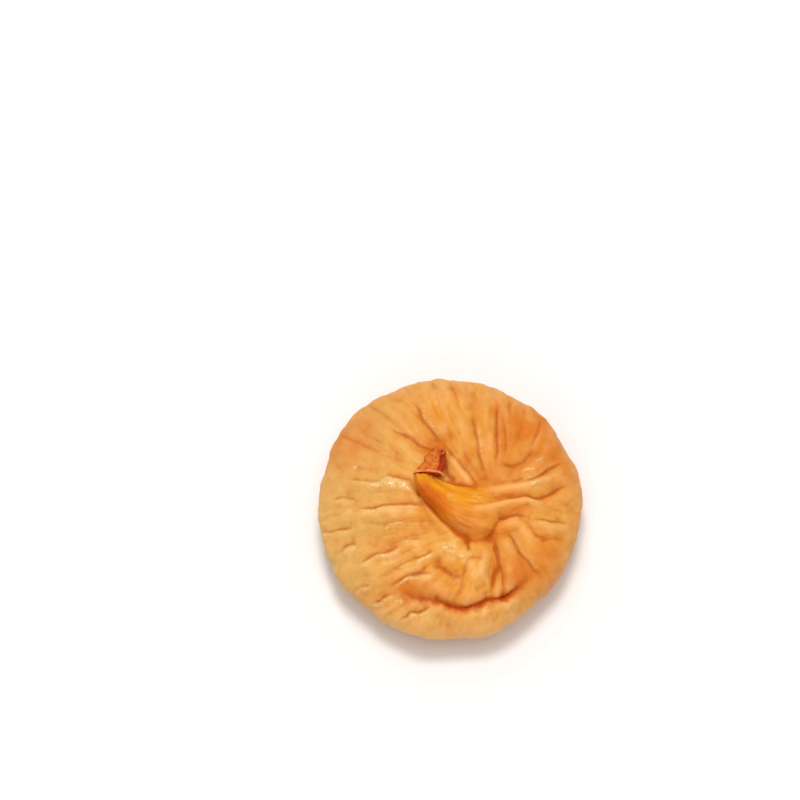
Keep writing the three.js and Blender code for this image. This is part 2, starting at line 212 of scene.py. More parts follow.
# %% The middle line of neck and stalk
NECK = [  # place of the middle line, half width and half height
    ((16.0, -0.6, 9.5), 2.6, 1.4),
    ((12.0, -1.4, 11.6), 3.2, 1.5),
    ((8.0, -3.4, 12.6), 4.6, 1.8),
    ((4.0, -2.8, 12.9), 4.3, 2.4),
    ((0.7, -1.5, 13.5), 3.3, 2.4),
    ((-2.1, 0.15, 14.0), 2.5, 2.2),
    ((-3.6, 1.5, 14.45), 2.1, 1.95),
    ((-3.95, 2.9, 14.75), 2.2, 1.65),
]
STALK = [
    ((-3.55, 3.35, 14.8), 2.25, 1.45),
    ((-2.85, 4.6, 14.9), 1.95, 1.35),
    ((-2.6, 5.7, 15.05), 1.75, 1.25),
    ((-2.05, 6.7, 15.1), 1.35, 1.05),
    ((-1.5, 7.7, 15.1), 0.75, 0.75),
]
LINE_STEPS = 24  # of the middle line, between two of the places above
middle_line = line_through([place for place, _, _ in NECK + STALK], LINE_STEPS)
line_sizes = line_through([(width, height, 0) for _, width, height in NECK + STALK], LINE_STEPS)
neck_end = LINE_STEPS * (len(NECK) - 1)

ahead = np.gradient(middle_line, axis=0)
ahead /= np.linalg.norm(ahead, axis=1)[:, None]
aside = np.stack([ahead[:, 1], -ahead[:, 0], np.zeros(len(ahead))], axis=1)
aside /= np.linalg.norm(aside, axis=1)[:, None]
upward = np.cross(aside, ahead)
print("middle line of", len(middle_line), "points, of which the neck has", neck_end + 1)

# %% [markdown]
# The neck's section isn't a circle: it is flat below, and a soft ridge runs along its top. So each ring
# round the line is a circle whose height is changed, and the last few rings draw in to a puckered lip.

# %% The neck
def ring_on_line(index, turn, sideways, upwards, shift=0.0):
    """A ring round a place of the middle line, in shares of the half width and half height there."""
    centre = middle_line[index] + shift * ahead[index]
    across = aside[index] * line_sizes[index][0]
    over = upward[index] * line_sizes[index][1]
    return centre + (sideways * np.cos(turn))[:, None] * across + (upwards * np.sin(turn))[:, None] * over


ROOT_RIDGE = -0.2  # where the ridge runs across the neck, from -1 at the near edge to 1 at the far edge
END_RIDGE = -0.75
ROOF_FULLNESS = 1.8  # the two powers of the roof's curve from its ridge to an edge; 1 and 1 are straight
ROOF_ROUNDING = 0.9
BELLY_HEIGHT = 0.7  # of the neck's flat lower half, as a share of a circle's
NECK_SIDES = 96
neck_turn = np.linspace(0, 2 * math.pi, NECK_SIDES, endpoint=False)


def roof_height(along, side):
    """How high the neck's roof is, for places along it and across it, as a share of the half height."""
    ridge = ROOT_RIDGE + (END_RIDGE - ROOT_RIDGE) * along
    from_ridge = (side - ridge) / (np.sign(side - ridge) - ridge)
    return (1 - np.clip(from_ridge, 0, 1) ** ROOF_FULLNESS) ** ROOF_ROUNDING


def neck_section(along):
    """How high the neck is at each turn, as a share of a circle's height: a soft roof over a flat belly."""
    roof = roof_height(along, np.cos(neck_turn))
    return np.where(np.sin(neck_turn) < 0, BELLY_HEIGHT, roof / np.maximum(np.sin(neck_turn), 0.05))


LIP = [(0.2, 0.99), (0.34, 0.95), (0.42, 0.86), (0.3, 0.7), (-0.6, 0.5)]  # how far past the end, how wide
neck_rings = []
for index in range(0, neck_end + 1, 2):
    neck_rings.append(ring_on_line(index, neck_turn, 1.0, neck_section(index / neck_end)))
for past_end, size in LIP:
    neck_rings.append(ring_on_line(neck_end, neck_turn, size, neck_section(1.0) * size, past_end))
neck_mould = sheet_of_rings(np.array(neck_rings)[:, ::-1])
print("neck mould", len(neck_mould[0]), "points")

# %% [markdown]
# Body and neck grew as one piece, so they are fused. A Boolean would leave a knife-sharp seam. The voxel
# Remesh modifier instead wraps one even skin of small squares round both, which later takes the folds
# equally well everywhere. Its squares are a quarter of a millimetre wide.

# %% Fuse body and neck into one even skin
VOXEL = 0.24


def mesh_object(name, vertices, faces):
    mesh = bpy.data.meshes.new(name)
    mesh.from_pydata([tuple(vertex) for vertex in vertices], [], faces)
    made = bpy.data.objects.new(name, mesh)
    bpy.context.scene.collection.objects.link(made)
    return made


def points_of(mesh):
    flat = np.empty(3 * len(mesh.vertices))
    mesh.vertices.foreach_get("co", flat)
    return flat.reshape(-1, 3)


def normals_of(mesh):
    flat = np.empty(3 * len(mesh.vertices))
    mesh.vertex_normals.foreach_get("vector", flat)
    return flat.reshape(-1, 3)


def move_points(mesh, points):
    mesh.vertices.foreach_set("co", points.ravel())
    mesh.update()


def joined(first, second):
    count = len(first[0])
    faces = first[1] + [tuple(corner + count for corner in face) for face in second[1]]
    return np.vstack([first[0], second[0]]), faces


mould = mesh_object("mould", *joined(body_mould, neck_mould))
remesh = mould.modifiers.new("one skin", "REMESH")
remesh.mode = "VOXEL"
remesh.voxel_size = VOXEL
seen = mould.evaluated_get(bpy.context.evaluated_depsgraph_get())
skin_mesh = bpy.data.meshes.new_from_object(seen)
bpy.data.objects.remove(mould)
skin = bpy.data.objects.new("fig_skin", skin_mesh)
bpy.context.scene.collection.objects.link(skin)
print("fused skin", len(skin_mesh.vertices), "points", len(skin_mesh.polygons), "faces")

# %% [markdown]
# Each point of the skin now has to know whether it is on the neck, how far along it and how far round
# it. The neck's share is 1 on the neck and 0 away from it, with a soft change between. Rounding the skin
# a little where neck and body meet gives the neck a grown-on look on its root side.

# %% Find the neck in the skin and round its seam
edges = np.empty(2 * len(skin_mesh.edges), int)
skin_mesh.edges.foreach_get("vertices", edges)
edges = edges.reshape(-1, 2)
neighbours = np.bincount(edges.ravel(), minlength=len(skin_mesh.vertices))[:, None]


def relaxed(values, rounds, share=0.5):
    """Values at the points, each drawn towards the mean of its neighbours so many times."""
    values = values.copy()
    for _ in range(rounds):
        total = np.zeros_like(values)
        for axis in range(values.shape[1]):
            total[:, axis] += np.bincount(edges[:, 0], values[edges[:, 1], axis], len(values))
            total[:, axis] += np.bincount(edges[:, 1], values[edges[:, 0], axis], len(values))
        values += share * (total / neighbours - values)
    return values


def along_neck(points):
    """For points: the place along the neck's line, the turn round it, and 1 on the tube's own surface."""
    near = np.full(len(points), neck_end)
    best = np.full(len(points), np.inf)
    for i in range(neck_end + 1):
        distance = ((points - middle_line[i]) ** 2).sum(1)
        closer = distance < best
        near[closer] = i
        best[closer] = distance[closer]
    offset = points - middle_line[near]
    sideways = (offset * aside[near]).sum(1) / line_sizes[near, 0]
    upwards = (offset * upward[near]).sum(1) / line_sizes[near, 1]
    side = np.clip(sideways, -0.96, 0.96)
    circle = np.sqrt(1 - side**2)
    upwards *= circle / np.where(upwards < 0, BELLY_HEIGHT * circle, roof_height(near / neck_end, side))
    beyond = (offset * ahead[near]).sum(1) / line_sizes[near, 1]
    reach = np.sqrt(sideways**2 + upwards**2 + beyond**2)
    return near / neck_end, np.arctan2(upwards, sideways), reach


NECK_SKIN = 1.02  # the reach up to which a point belongs wholly to the neck
NECK_MARGIN = 1.3  # and the one from which it doesn't at all
SEAM_REACH = 1.1  # where the two skins meet, and over how much they are rounded
SEAM_WIDTH = 0.25
FIRST_ROUNDS = 3  # of smoothing, for the small steps that the squares of the skin leave
SEAM_ROUNDS = 14

points = relaxed(points_of(skin_mesh), FIRST_ROUNDS)
neck_along, neck_round, neck_reach = along_neck(points)
on_neck = 1 - ramp(neck_reach, NECK_SKIN, NECK_MARGIN)
seam = bell((neck_reach - SEAM_REACH) / SEAM_WIDTH) * (0.7 + 0.3 * ramp(-neck_along, -0.42, -0.2))
rounded = relaxed(points, SEAM_ROUNDS)
points += (rounded - points) * seam[:, None]
move_points(skin_mesh, points)
print("points on the neck", int((on_neck > 0.5).sum()))

# %% [markdown]
# On the body a point is found by its meridian and by its journey along it. A skin has no such
# coordinates of its own once it is fused, so they are worked out from the smooth form. Together with
# those of the neck, they are what the pleats and folds are written in.

# %% Turn and journey of each point
DROP_PART = 0.25  # of a journey over the skin that height tells; the plan tells the rest
is_upper = points[:, 2] > RIM_HEIGHT
upper_turn, upper_share = meridian_of(points, True)
lower_turn, lower_share = meridian_of(points, False)
turn = np.where(is_upper, upper_turn, lower_turn)
share = np.clip(np.where(is_upper, upper_share, lower_share), 0, 1)
drop = np.abs(points[:, 2] - RIM_HEIGHT) / np.where(is_upper, DOME, BELLY)
to_rim = (1 - DROP_PART) * share + DROP_PART * (1 - np.clip(drop, 0, 1))
journey = np.where(is_upper, to_rim, 2 - to_rim)  # 0 at the neck's root, 1 at the rim, 2 at the eye
print("journeys from", journey.min().round(2), "to", journey.max().round(2))

# %% [markdown]
# The large folds are drawn from above, as paths with a depth and a half width in millimetres.
# They could be sculpted with brushes too, but a path can be read, moved and made deeper later. Beside
# some grooves the skin piles up in a lip, because folded skin has to go somewhere.

# %% The large folds of the upper face
FOLDS = [  # pixels of the path, depth, half width, and the lip on its left, or on its right if less than 0
    # under the neck's near edge, round its root, and behind its far edge
    ([(411, 474), (414, 483), (419, 492), (429, 505), (440, 517), (451, 526), (460, 533)], 0.35, 0.22, 0),
    ([(436, 514), (444, 521), (452, 528), (459, 533), (466, 538), (469, 545), (470, 554)], 0.8, 0.25, 0),
    ([(462, 536), (470, 540), (480, 542), (490, 540), (497, 534)], 0.45, 0.6, 0),
    ([(520, 514), (508, 518), (500, 524), (495, 532), (489, 540), (478, 543)], 0.9, 0.55, 0),
    ([(438, 476), (446, 482), (456, 484), (466, 485), (474, 488), (482, 490)], 0.5, 0.35, 0),
    ([(445, 452), (447, 466), (451, 476), (458, 483)], 0.8, 0.45, 0),
    ([(438, 440), (448, 447), (460, 462), (468, 473), (474, 481), (480, 489)], 0.65, 0.45, 0),
    ([(465, 448), (470, 462), (480, 475), (490, 484)], 0.4, 1.0, 0),
    # between the strands that run to the right rim
    ([(520, 485), (533, 480), (546, 472), (556, 466), (568, 463)], 0.5, 0.4, 0.1),
    ([(503, 502), (524, 497.5), (537, 499), (548, 497), (558, 491), (571, 485)], 0.8, 0.35, 0),
    ([(498, 522), (509, 518), (518, 516), (530, 518)], 0.8, 0.9, -0.15),
    ([(531, 518), (548, 521), (558, 522), (576, 526)], 0.35, 0.3, -0.15),
    ([(525, 521), (531, 528), (536, 534), (544, 537), (553, 537)], 0.35, 0.6, 0),
    ([(540, 541), (553, 540), (563, 541)], 0.3, 0.3, 0),
    ([(500, 461), (510, 464), (520, 462), (529, 455), (536, 445)], 0.7, 0.7, 0),
    # between the neck and the deep fold
    ([(494, 536), (497, 545), (498.7, 556), (499.4, 567), (496.5, 577), (494, 587), (491, 602)],
     0.95, 0.5, 0),
    ([(499.5, 561), (502.5, 573), (505, 585), (507, 603)], 0.6, 0.35, 0),
    ([(505, 531), (514, 538), (519, 547), (523, 556), (530, 563), (537, 570), (546, 576)], 0.5, 0.35, 0.12),
    ([(488, 560), (479, 559), (472, 560), (467, 566), (464, 574), (464, 582)], 0.35, 0.45, 0),
    ([(468, 563), (465, 573), (463, 583), (459, 592), (453, 603)], 0.45, 0.7, 0),
    ([(430, 566), (441, 567), (448, 571), (456, 577), (468, 581)], 0.8, 0.8, 0),
    ([(475, 591), (483, 587), (490, 582)], 0.3, 0.6, 0),
    ([(508, 604), (507, 598), (506, 591)], 0.7, 0.3, 0),
    ([(502, 597), (507, 594), (513, 595)], 0.6, 0.35, 0),
    ([(491, 602), (488, 596), (487, 589)], 0.5, 0.3, 0),
    ([(467, 539), (469, 547), (470, 553)], 0.5, 0.3, 0),
    ([(386, 587), (398, 583), (405, 579), (412, 576), (424, 575), (436, 573)], 0.55, 0.35, -0.35),
    ([(402, 591), (411, 595), (419, 599), (431, 602)], 0.5, 0.9, 0),
    ([(432, 601), (429, 608), (421, 612), (411, 613), (407, 618), (399, 621)], 0.6, 0.4, 0.25),
    # the long thin folds of the left side
    ([(319, 532), (331, 532), (341, 530), (358, 528)], 0.25, 0.3, -0.15),
    ([(342, 549), (350, 545), (358, 545)], 0.2, 0.3, -0.2),
    ([(356, 564), (368, 560), (376, 556), (384, 553), (392, 550), (404, 545)], 0.35, 0.4, -0.3),
    ([(402, 539), (412, 538), (426, 537)], 0.2, 0.4, -0.15),
    ([(413, 560), (425, 556), (436, 551)], 0.25, 0.35, -0.25),
    ([(353, 592), (364, 587), (375, 584)], 0.25, 0.35, -0.15),
    ([(369, 604), (380, 602), (386, 598), (393, 592)], 0.35, 0.4, -0.25),
    ([(344, 478), (364, 480), (383, 483)], 0.25, 0.3, -0.15),
    ([(384, 475), (400, 478), (416, 482)], 0.3, 0.3, -0.2),
    ([(334, 502), (346, 498), (359, 499)], 0.25, 0.3, -0.15),
    ([(356, 511), (374, 509), (388, 506), (408, 505), (426, 507)], 0.4, 0.3, -0.25),
    # from the stalk and the neck's far side to the far rim
    ([(385, 428), (400, 433), (412, 438), (422, 444), (430, 448), (436, 447), (441, 443)], 0.6, 0.45, 0.06),
    ([(414, 402), (423, 417), (434, 431), (447, 444)], 0.55, 0.7, 0.2),
    ([(473, 411), (476, 430), (479, 446), (483, 464), (488, 480)], 0.45, 0.5, 0.1),
    ([(500, 396), (498, 415), (497, 433), (498, 450), (497, 474)], 0.6, 0.4, 0.04),
    ([(543, 418), (538, 434), (531, 450)], 0.35, 0.5, 0.05),
    ([(504, 408), (506, 425), (507, 442), (506, 456)], 0.3, 0.3, 0.05),
]
print("folds", len(FOLDS))

# %% [markdown]
# Between the folds the skin stands up. A ridge is a strand of firm skin and is drawn like a fold, only
# raised. A swelling is a soft cushion, or a hollow where its height is less than 0, and a round spot is
# enough for it.

# %% Ridges and swellings
RIDGES = [  # pixels of the path, height, half width
    ([(470, 492), (500, 490), (515, 488), (530, 485), (545, 480), (562, 471)], 0.7, 0.8),
    ([(458, 511), (475, 513), (487, 512), (500, 508), (515, 503), (530, 501), (548, 506)], 0.9, 0.75),
    ([(449, 454), (457, 464), (466, 475), (477, 487)], 0.85, 1.1),
    ([(502, 527), (511, 524), (518, 524), (524, 529), (529, 536), (537, 542)], 0.35, 0.9),
]
SWELLINGS = [  # pixel, height, radius
    ((438, 584), 0.9, 3.2),
    ((478, 573), 0.75, 2.3),
    ((488, 566), 0.3, 1.3),
    ((470, 588), 0.3, 1.6),
    ((484, 553), 0.4, 2.0),
    ((415, 586), 0.5, 2.5),
    ((515, 570), 0.9, 2.4),
    ((455, 556), 0.5, 2.2),
    ((534, 466), 0.5, 1.5),
    ((507, 472), 0.35, 1.2),
    ((560, 480), 0.3, 2.0),
    ((430, 618), 0.3, 2.5),
    ((500, 615), 0.3, 3.0),
    ((555, 530), 0.3, 3.5),
    ((545, 450), 0.35, 3.5),
    ((520, 440), -0.35, 4.0),
    ((437, 405), 0.5, 5.0),
    ((400, 420), 0.35, 4.5),
    ((465, 430), 0.3, 3.0),
    ((370, 568), 0.3, 4.0),
    ((345, 540), 0.25, 4.0),
    ((425, 538), -0.25, 3.5),
    ((400, 495), 0.3, 4.5),
    ((430, 500), -0.3, 3.5),
]
print("ridges", len(RIDGES), "and swellings", len(SWELLINGS))

# %% [markdown]
# In some places the skin is finely crinkled, and the small crests catch the light: they get gloss and a
# painted highlight. A crinkle is one crest. A sparkle is a strip of crests too fine for this mesh, so it is
# only a mask, which the material turns into glossy specks with painted cream highlights.

# %% Crinkles and sparkles
CRINKLES = [  # pixels of the path: small crests that catch the light
    [(377, 487), (385, 484.5), (393, 487)],
    [(398, 484), (404, 483.5), (409, 486)],
    [(409, 489), (413, 491), (417, 494)],
    [(346, 506), (350, 504), (354, 505)],
    [(390, 527), (396, 525), (406, 524)],
    [(385, 532), (388, 530), (391, 530)],
    [(398, 567), (406, 565), (416, 562)],
    [(361, 568), (366, 566), (371, 567)],
    [(441, 548), (449, 546), (458, 548)],
    [(445, 551), (452, 552), (461, 550)],
    [(456, 555), (462, 558), (467, 556)],
    [(447, 499), (452, 500), (457, 503)],
    [(449, 503), (454, 504), (459, 507)],
    [(465, 503), (472, 504), (480, 507)],
    [(455, 488), (460, 487), (467, 490)],
    [(472, 499), (477, 499), (484, 502)],
    [(527, 503), (533, 502), (541, 502)],
    [(530, 488), (537, 484), (544, 481)],
    [(536, 486), (541, 483.5), (548, 480)],
    [(521, 472), (528, 470), (535, 469)],
    [(536, 463), (541, 461), (546, 458)],
    [(381, 480), (392, 480), (404, 480)],
    [(404, 487), (411, 489), (416, 493)],
    [(395, 600), (401, 603), (405, 607)],
]
SPARKLES = [  # pixels of a path along which the skin is finely crinkled and wet, strength, half width
    ([(366, 484), (384, 485), (400, 485), (417, 492)], 1.2, 0.75),
    ([(440, 546), (450, 548), (460, 552)], 0.6, 0.9),
    ([(430, 556), (442, 553), (456, 558)], 0.3, 1.2),
    ([(388, 527), (396, 527), (404, 524)], 0.5, 0.5),
    ([(536, 486), (544, 483), (552, 479)], 0.6, 0.4),
    ([(527, 503), (534, 502), (544, 503)], 0.6, 0.4),
    ([(446, 500), (452, 502), (458, 506)], 0.5, 0.6),
    ([(350, 470), (358, 466), (368, 462)], 0.35, 0.6),
    ([(352, 590), (368, 584), (386, 578)], 0.3, 0.8),
    ([(432, 398), (438, 402), (442, 410)], 0.35, 1.0),
]
print("crinkles", len(CRINKLES), "and sparkles", len(SPARKLES))

# %% [markdown]
# A drawn path has to find its place on the skin. Each of its pixels is a line of sight from the camera,
# which is followed until it meets the smooth upper face. Then every point looks for the nearest place of
# the path.

# %% From a drawn path to the skin
SIGHT_ROUNDS = 8  # enough for a line of sight to settle on the face
PATH_STEPS = 6  # of the smooth line, between two points of a path
ENDS = 0.25  # the share of a path over which it fades in, and out again


def on_face(pixels):
    """The places, seen from above, where lines of sight through pixels meet the smooth upper face."""
    right, down = (np.array(pixels, float).reshape(-1, 2).T - PICTURE_SIZE / 2) / PIXELS_PER_MM
    start = aim - forward * CAMERA_DISTANCE
    sight = forward * CAMERA_DISTANCE + right[:, None] * to_right - down[:, None] * to_top
    height = RIM_HEIGHT + DOME
    for _ in range(SIGHT_ROUNDS):
        places = start + sight * ((height - start[2]) / sight[:, 2])[:, None]
        _, share = meridian_of(places, True)
        height = pressed_form(0.0, share, True)[:, 2]
    return places[:, :2]


def near_path(path, places):
    """How far places lie from a path, more than 0 on its left, and how far along it, from 0 to 1."""
    line = line_through(path, PATH_STEPS)
    best = np.full(len(places), np.inf)
    signed = np.full(len(places), np.inf)
    along = np.zeros(len(places))
    for i in range(len(line) - 1):
        step = line[i + 1] - line[i]
        offset = places - line[i]
        t = np.clip(offset @ step / (step @ step), 0, 1)
        rest = offset - t[:, None] * step
        distance = np.hypot(rest[:, 0], rest[:, 1])
        closer = distance < best
        side = np.sign(step[0] * offset[:, 1] - step[1] * offset[:, 0])
        best[closer] = distance[closer]
        signed[closer] = (side * distance)[closer]
        along[closer] = ((i + t) / (len(line) - 1))[closer]
    return signed, along


def fading(along, first=ENDS, last=ENDS):
    """1 in the middle of a path, and less over its first and last share."""
    return ramp(along, 0, first) * ramp(1 - along, 0, last)


print("the fig's middle in the picture is at", on_face(FIG_PIXEL).round(1), "mm on the face")

# %% [markdown]
# The profile across a fold is a narrow, sharp valley in a wide, soft one. That is how thick skin folds,
# and it keeps the bottom dark and the flanks round. The same measure gives two masks for the material:
# a line of painted shade along the bottom, and the lip that gets gloss and a painted highlight.

# %% The relief of the drawn folds
LIP_REACH = 1.8  # how far the raised skin beside a fold runs before it is level again
LIP_HEIGHT = 1.9  # of that skin, where the lip is 1
LIP_SHINE = 0.45  # how far from the fold its lip shines, and over how much
LIP_SHINE_WIDTH = 0.28
FOLD_STRENGTH = 0.8  # how much of a drawn depth is pressed in
DARK_DEPTH = 0.8  # the depth from which on a fold's line of painted shade is as dark as it gets
CRINKLE_HEIGHT = 0.1
CRINKLE_WIDTH = 0.22
CRINKLE_ENDS = 0.3  # the share of its path over which a crinkle or sparkle fades, at either end
STRAY = 0.35  # how far a fold strays from its drawn path


def fold_relief(places):
    """The height that folds and crinkles give, a mask of painted shade along each fold, and one of gloss and
    painted highlight on shining crests.
    """
    height, line, shine = np.zeros((3, len(places)))
    for pixels, depth, width, lip in FOLDS:
        distance, along = near_path(on_face(pixels), places)
        fade = fading(along)
        side = np.maximum(distance if lip > 0 else -distance, 0)
        step = (1 - np.exp(-side / (0.6 * width))) * np.exp(-side / LIP_REACH)
        valley = 0.45 * np.exp(-np.abs(distance) / (0.7 * width)) + 0.55 * bell(distance / (2.2 * width))
        height += fade * (LIP_HEIGHT * abs(lip) * step - FOLD_STRENGTH * depth * valley)
        # painted shade along the fold's bottom
        line = np.maximum(line, fade * min(depth / DARK_DEPTH, 1) * bell(distance / (0.12 + 0.35 * width)))
        # gloss, and a painted highlight, on the lip
        lip_shine = fade * min(4 * abs(lip), 1) * bell((side - LIP_SHINE) / LIP_SHINE_WIDTH)
        shine = np.maximum(shine, lip_shine)
    for pixels in CRINKLES:
        distance, along = near_path(on_face(pixels), places)
        crinkle = fading(along, CRINKLE_ENDS, CRINKLE_ENDS) * bell(distance / CRINKLE_WIDTH)
        height += CRINKLE_HEIGHT * crinkle
        shine = np.maximum(shine, crinkle)
    for pixels, strength, width in SPARKLES:
        distance, along = near_path(on_face(pixels), places)
        fade = fading(along, CRINKLE_ENDS, CRINKLE_ENDS)
        shine = np.maximum(shine, strength * fade * bell(distance / width))
    return height, line, shine


def wandering(points, scale, place):
    """Two grains at every point, which shift it a little, seen from above."""
    return np.stack([grain(points, scale, place), grain(points, scale, place + 6)], axis=1)


plan = points[:, :2].copy()  # the points seen from above
wander = wandering(points, 0.45, 51.0)
fold_height, fold_shade_line, shine = fold_relief(plan + STRAY * wander)
print("folds", extent(fold_height))

# %% [markdown]
# Ridges and swellings need no valley and no lip: a bell across each is enough. The face also swells
# beside the near edge of the neck, which pushes the skin together there. All of it counts only on the
# upper face, and not on the free part of the neck.

# %% Ridges, swellings and the shoulder beside the neck
def near_spot(pixel, radius, places):
    """1 at a pixel's place on the face, fading to nothing round it."""
    return bell(np.hypot(*(places - on_face(pixel)).T) / radius)


def ridge_relief(places):
    """The height that the ridges and swellings give, and how close each point is to a ridge's crest, which
    the material paints paler as painted light.
    """
    height, crest = np.zeros((2, len(places)))
    for pixels, top, width in RIDGES:
        distance, along = near_path(on_face(pixels), places)
        shape = fading(along) * bell(distance / width)
        height += top * shape
        crest = np.maximum(crest, shape)
    for pixel, top, radius in SWELLINGS:
        height += top * near_spot(pixel, radius, places)
    return height, crest


free_neck = (1 - ramp(neck_reach, 1.0, 1.12)) * ramp(neck_along, 0.36, 0.55)  # the neck beyond its root
upper_only = ramp(points[:, 2], RIM_HEIGHT - 1, RIM_HEIGHT + 1) * (1 - free_neck)
ridge_height, crest = ridge_relief(plan)
is_near = ramp(-np.cos(neck_round), 0.0, 0.6)
shoulder = 0.5 * bell((neck_reach - 1.25) / 0.22) * ramp(neck_along, 0.45, 0.65) * is_near
large = (fold_height + ridge_height + shoulder) * upper_only
print("all of them", extent(large))

# %% [markdown]
# The pleats are too many to draw. They follow the meridians, so noise is sampled in meridian
# coordinates: quick to change round the fig, slow to change along the way from pole to pole. Taking the
# absolute value turns soft waves into round cushions with sharp valleys between them, which is what a
# folded skin does. Two sizes of pleats lie over each other, and a third, even noise makes the skin
# between them a little lumpy.

# %% Pleats and lumps
SOFT_WAVES = 24  # so many round the fig
WIDE_PLEATS = 38
NARROW_PLEATS = 80
RIM_PLEATS = 110
FINE_LINES = 200
CRUMPLED = (455, 570)  # pixel in the middle of the crumpled field above the deep fold
CRUMPLED_RADIUS = 7


def wrapped(turn, along, wide, long):
    """Places on a tube, so that noise taken there closes up round the fig."""
    return np.stack([np.cos(turn) * wide, np.sin(turn) * wide, along * long], axis=1)


def waves(turn, journey, how_many, how_long, place):
    """Noise that changes so many times round the fig, and so often from pole to pole."""
    return grain(wrapped(turn, journey, how_many / (2 * math.pi), how_long), 1.0, place)


def pleats(*which):
    """Rounded pleats with sharp valleys, from about -1 in a valley to 0 on top."""
    return np.abs(waves(*which)) * 2 - 1


sway = 0.07 * grain(points, 0.12, 3.1) + 0.025 * grain(points, 0.5, 8.3)
soft = waves(turn + sway, journey, SOFT_WAVES, 0.8, 11.0)
wide = pleats(turn + sway, journey, WIDE_PLEATS, 1.0, 19.0)
narrow = pleats(turn + 1.5 * sway, journey, NARROW_PLEATS, 1.6, 23.0)
fine = waves(turn + 2 * sway, journey, FINE_LINES, 3.0, 37.0)
strong = ramp(grain(points, 0.13, 31.0), -0.3, 0.35)
pleat_height = (0.7 * soft + 0.3 * wide * strong) * ramp(share, 0.12, 0.7)
pleat_height += (0.09 + 0.08 * bell((journey - 1.3) / 0.4)) * narrow * (1.2 - strong) * ramp(share, 0.2, 0.8)
pleat_height += 0.05 * fine * ramp(share, 0.55, 0.9)
near_rim = bell((journey - 0.9) / 0.12) * ramp(-np.sin(turn), 0.2, 0.8)
pleat_height += near_rim * (0.14 * waves(turn, journey, RIM_PLEATS, 0.5, 29.0) + 0.07 * fine)

crumpled = near_spot(CRUMPLED, CRUMPLED_RADIUS, plan)
pleat_height += 0.35 * grain(points, 0.2, 5.0) + 0.26 * grain(points, 0.45, 7.0)
pleat_height += (0.07 + 0.05 * crumpled) * grain(points, 1.2, 9.0)
print("pleats", extent(pleat_height))

# %% [markdown]
# The rim also has short, deep wrinkles. Noise would spread them too evenly, so they are laid one by one,
# and the chance function gives each its place, length, width and depth.

# %% Wrinkles over the rim
WRINKLES = 46


def wrinkle(index):
    """How deep one wrinkle is at every point."""
    middle = (index + 0.7 * (chance(index, 1) - 0.5)) / WRINKLES * 2 * math.pi
    off = turn - middle - 0.07 * np.sin(3 * journey + 6 * chance(index, 2))
    off = np.arctan2(np.sin(off), np.cos(off))
    start = 0.85 + 0.25 * chance(index, 3) - 0.4 * max(math.sin(middle), 0)
    end = 1.2 + 0.7 * chance(index, 4)
    length = ramp(journey, start - 0.15, start + 0.1) * ramp(-journey, -end - 0.1, -end + 0.2)
    half_width = 0.018 + 0.012 * chance(index, 5)
    return (0.08 + 0.14 * chance(index, 6)) * length * bell(off / half_width)


for index in range(WRINKLES):
    pleat_height -= wrinkle(index)
pleat_height *= (1 - on_neck) * (1 - 0.45 * bell((journey - 1) / 0.14))
print("with wrinkles", extent(pleat_height))

# %% [markdown]
# On the neck the fibres run lengthwise and gather towards the stalk. The eye underneath is a dimple with
# a ring of dried scales round a small hole.

# %% Strands of the neck, and the eye
STRANDS = [  # turn at the neck's root and at its end (0 is the far edge), height, half width in radians
    (0.7, 0.5, 0.12, 0.2),
    (1.2, 1.1, 0.12, 0.16),
    (1.75, 1.7, 0.1, 0.16),
    (2.3, 2.35, 0.06, 0.2),
]
strand_place = wrapped(neck_round, neck_along, 1.7, 2.2)
strands = np.abs(grain(strand_place, 1.0, 41.0)) * 2 - 1
fine_strands = np.abs(grain(strand_place * (2.6, 2.6, 1.4), 1.0, 43.0)) * 2 - 1
neck_height = 0.1 * strands + 0.09 * fine_strands + 0.15 * grain(points, 0.5, 47.0) + 0.1
for start_turn, end_turn, top, half_width in STRANDS:
    swing = 0.12 * np.sin(5 * neck_along + 9 * start_turn)
    middle = start_turn + (end_turn - start_turn) * neck_along + swing
    neck_height += top * ramp(neck_along, 0.15, 0.4) * bell((neck_round - middle) / half_width)
pinch = ramp(neck_along, 0.86, 0.98) * ramp(np.cos(neck_round), 0.1, 0.7)
neck_height -= 0.25 * pinch
neck_height *= on_neck

eye_distance = np.hypot(*(plan - EYE).T)
eye_turn = np.arctan2(*(plan - EYE).T[::-1])
scales = 0.3 * np.abs(np.sin(4 * eye_turn + 0.5 * eye_distance)) * bell((eye_distance - 1.5) / 0.7)
eye_height = scales + 0.5 * bell((eye_distance - 1.4) / 0.8) - 1.5 * bell(eye_distance / 3.2)
eye_height = np.where(is_upper, 0, eye_height)
print("eye", extent(eye_height))

# %% [markdown]
# Now the points move. Pleats, folds, strands and eye are all heights, so they add up, and one step along
# the normals presses them in. Displace modifiers could do it too, but they would read the heights from
# vertex groups, which hold nothing below 0.

# %% Press pleats, folds, strands and eye into the skin
normals = normals_of(skin_mesh)
total_height = large + pleat_height + neck_height + eye_height
points += normals * total_height[:, None]
print("pressed and raised", extent(total_height))

# %% [markdown]
# The deep fold needs more. Its inner lip hangs over the groove, so its points also slide sideways, out
# over the valley. At the end the floor presses the underside flat, as the fig's own weight did.

# %% The deep fold inside the near rim
DEEP_FOLD = [  # pixels
    (404, 593), (412, 597), (421, 599), (431, 601), (441, 603), (451, 606),
    (460, 608), (470, 607.5), (479, 605.5), (485, 602), (490, 600), (497, 599),
    (503, 598), (509, 595), (516, 591), (524, 585), (531, 578), (536, 570),
]
DEEP_FOLD_DEPTH = 0.6
INNER_LIP = 0.25  # how high the skin stands beside the fold
OUTER_BAND = 0.35
OVERHANG = 0.35  # how far the inner lip slides out

